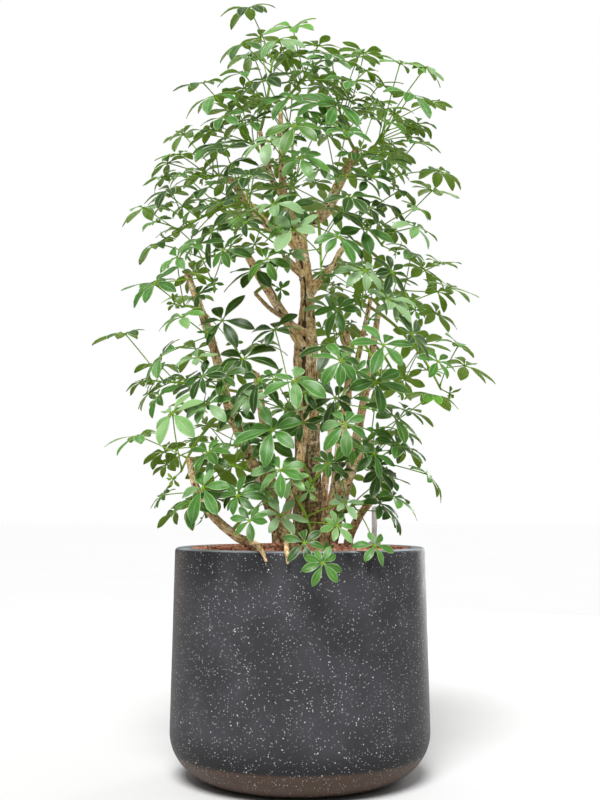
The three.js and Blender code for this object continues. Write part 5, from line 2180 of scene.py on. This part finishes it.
@dataclass(frozen=True)
class Sky:
    """Soft surroundings, bright behind the plant, which the camera sees as plain white.

    Side, top and back are the brightness level with the plant, overhead and behind it. A pair says where
    that behind it starts and is full, and back_left how much of it is left at the left.
    """

    side: float = 0.04
    top: float = 0.55
    back: float = 0.8
    top_height: float = 0.8
    back_depth: Pair = (0.1, 0.7)
    back_height: Pair = (0.02, 0.2)
    back_side: Pair = (-0.7, 0.1)
    back_left: float = 0.25

    def build(self) -> None:
        """Sets the surroundings."""
        graph = Graph("studio", surroundings=True)
        across, depth, height = graph.parts(graph.value("TexCoord", output="Generated"))
        side, top, back = [(tone, tone, tone, 1.0) for tone in (self.side, self.top, self.back)]
        behind = depth.ramp(*self.back_depth) * height.ramp(*self.back_height)
        behind = behind * (across.ramp(*self.back_side) * (1 - self.back_left) + self.back_left)
        light = graph.layered(side, (height.ramp(0.0, self.top_height), top), (behind, back))
        colour = graph.mix(graph.value("LightPath", output="Is Camera Ray"), light, WHITE)
        background = graph.value("Background", values={"Color": colour, "Strength": 1.0})
        graph.node("OutputWorld", values={"Surface": background})
        bpy.context.scene.world = graph.owner


@dataclass
class Studio:
    """The pale floor, the soft lights and the camera, at the photograph's viewing angle.

    The level line's drop under the picture's middle, the focal length and the picture's height are in
    pixels, and the sensor's size on that side is in mm. The floor's size is half its side, in metres. The
    softboxes are the lights that show at the planter's edges.
    """

    camera_place: Point = (0.0, -2.2495, 0.513)
    horizon_drop: float = 106.0
    focal_pixels: float = 1151.0
    picture_height: float = 800.0
    sensor: float = 36.0
    floor_size: float = 30.0
    exposure: float = 0.0
    sky: Sky = Sky()
    broad: BroadLight = BroadLight()
    softboxes: tuple[Softbox, ...] = (
        Softbox("right_edge_light", (1.75, 2.9, 0.7), (0, 0, 0.4), (0.5, 1.6), 44),
        Softbox("left_edge_light", (-1.9, 2.4, 0.6), (0, 0, 0.4), (0.8, 1.2), 3, (1.0, 0.6, 0.36)),
    )
    finish: FloorFinish = FloorFinish()

    def build_camera(self) -> None:
        """Sets up the camera."""
        data = bpy.data.cameras.new("camera")
        data.sensor_width = self.sensor
        data.lens = self.focal_pixels * self.sensor / self.picture_height
        camera = linked("camera", data)
        camera.location = self.camera_place
        camera.rotation_euler = (math.pi / 2 + math.atan2(self.horizon_drop, self.focal_pixels), 0, 0)
        bpy.context.scene.camera = camera

    def build_floor(self) -> None:
        """Lays the floor."""
        bm = bmesh.new()
        bmesh.ops.create_grid(bm, x_segments=1, y_segments=1, size=self.floor_size)
        floor = linked("floor", mesh_from(bm, "floor", smooth=False))
        floor.data.materials.append(self.finish.material())

    def build(self) -> None:
        """Builds the studio."""
        self.build_camera()
        self.build_floor()
        for light in (self.sky, self.broad, *self.softboxes):
            light.build()
        view = bpy.context.scene.view_settings
        view.view_transform = "Standard"
        view.look = "None"
        view.exposure = self.exposure


def main() -> None:
    """Builds the potted umbrella plant and its studio."""
    logging.basicConfig(level=logging.INFO, format="%(message)s")
    planter = Planter()
    planter.build()
    GranuleBed(planter).build()
    WaterGauge().build()
    WoodyStems().build()
    growth = Growth()
    growth.grow()
    growth.fill()
    LeafyShoots(growth.shoots).build()
    Studio().build()


if __name__ == "__main__":
    main()
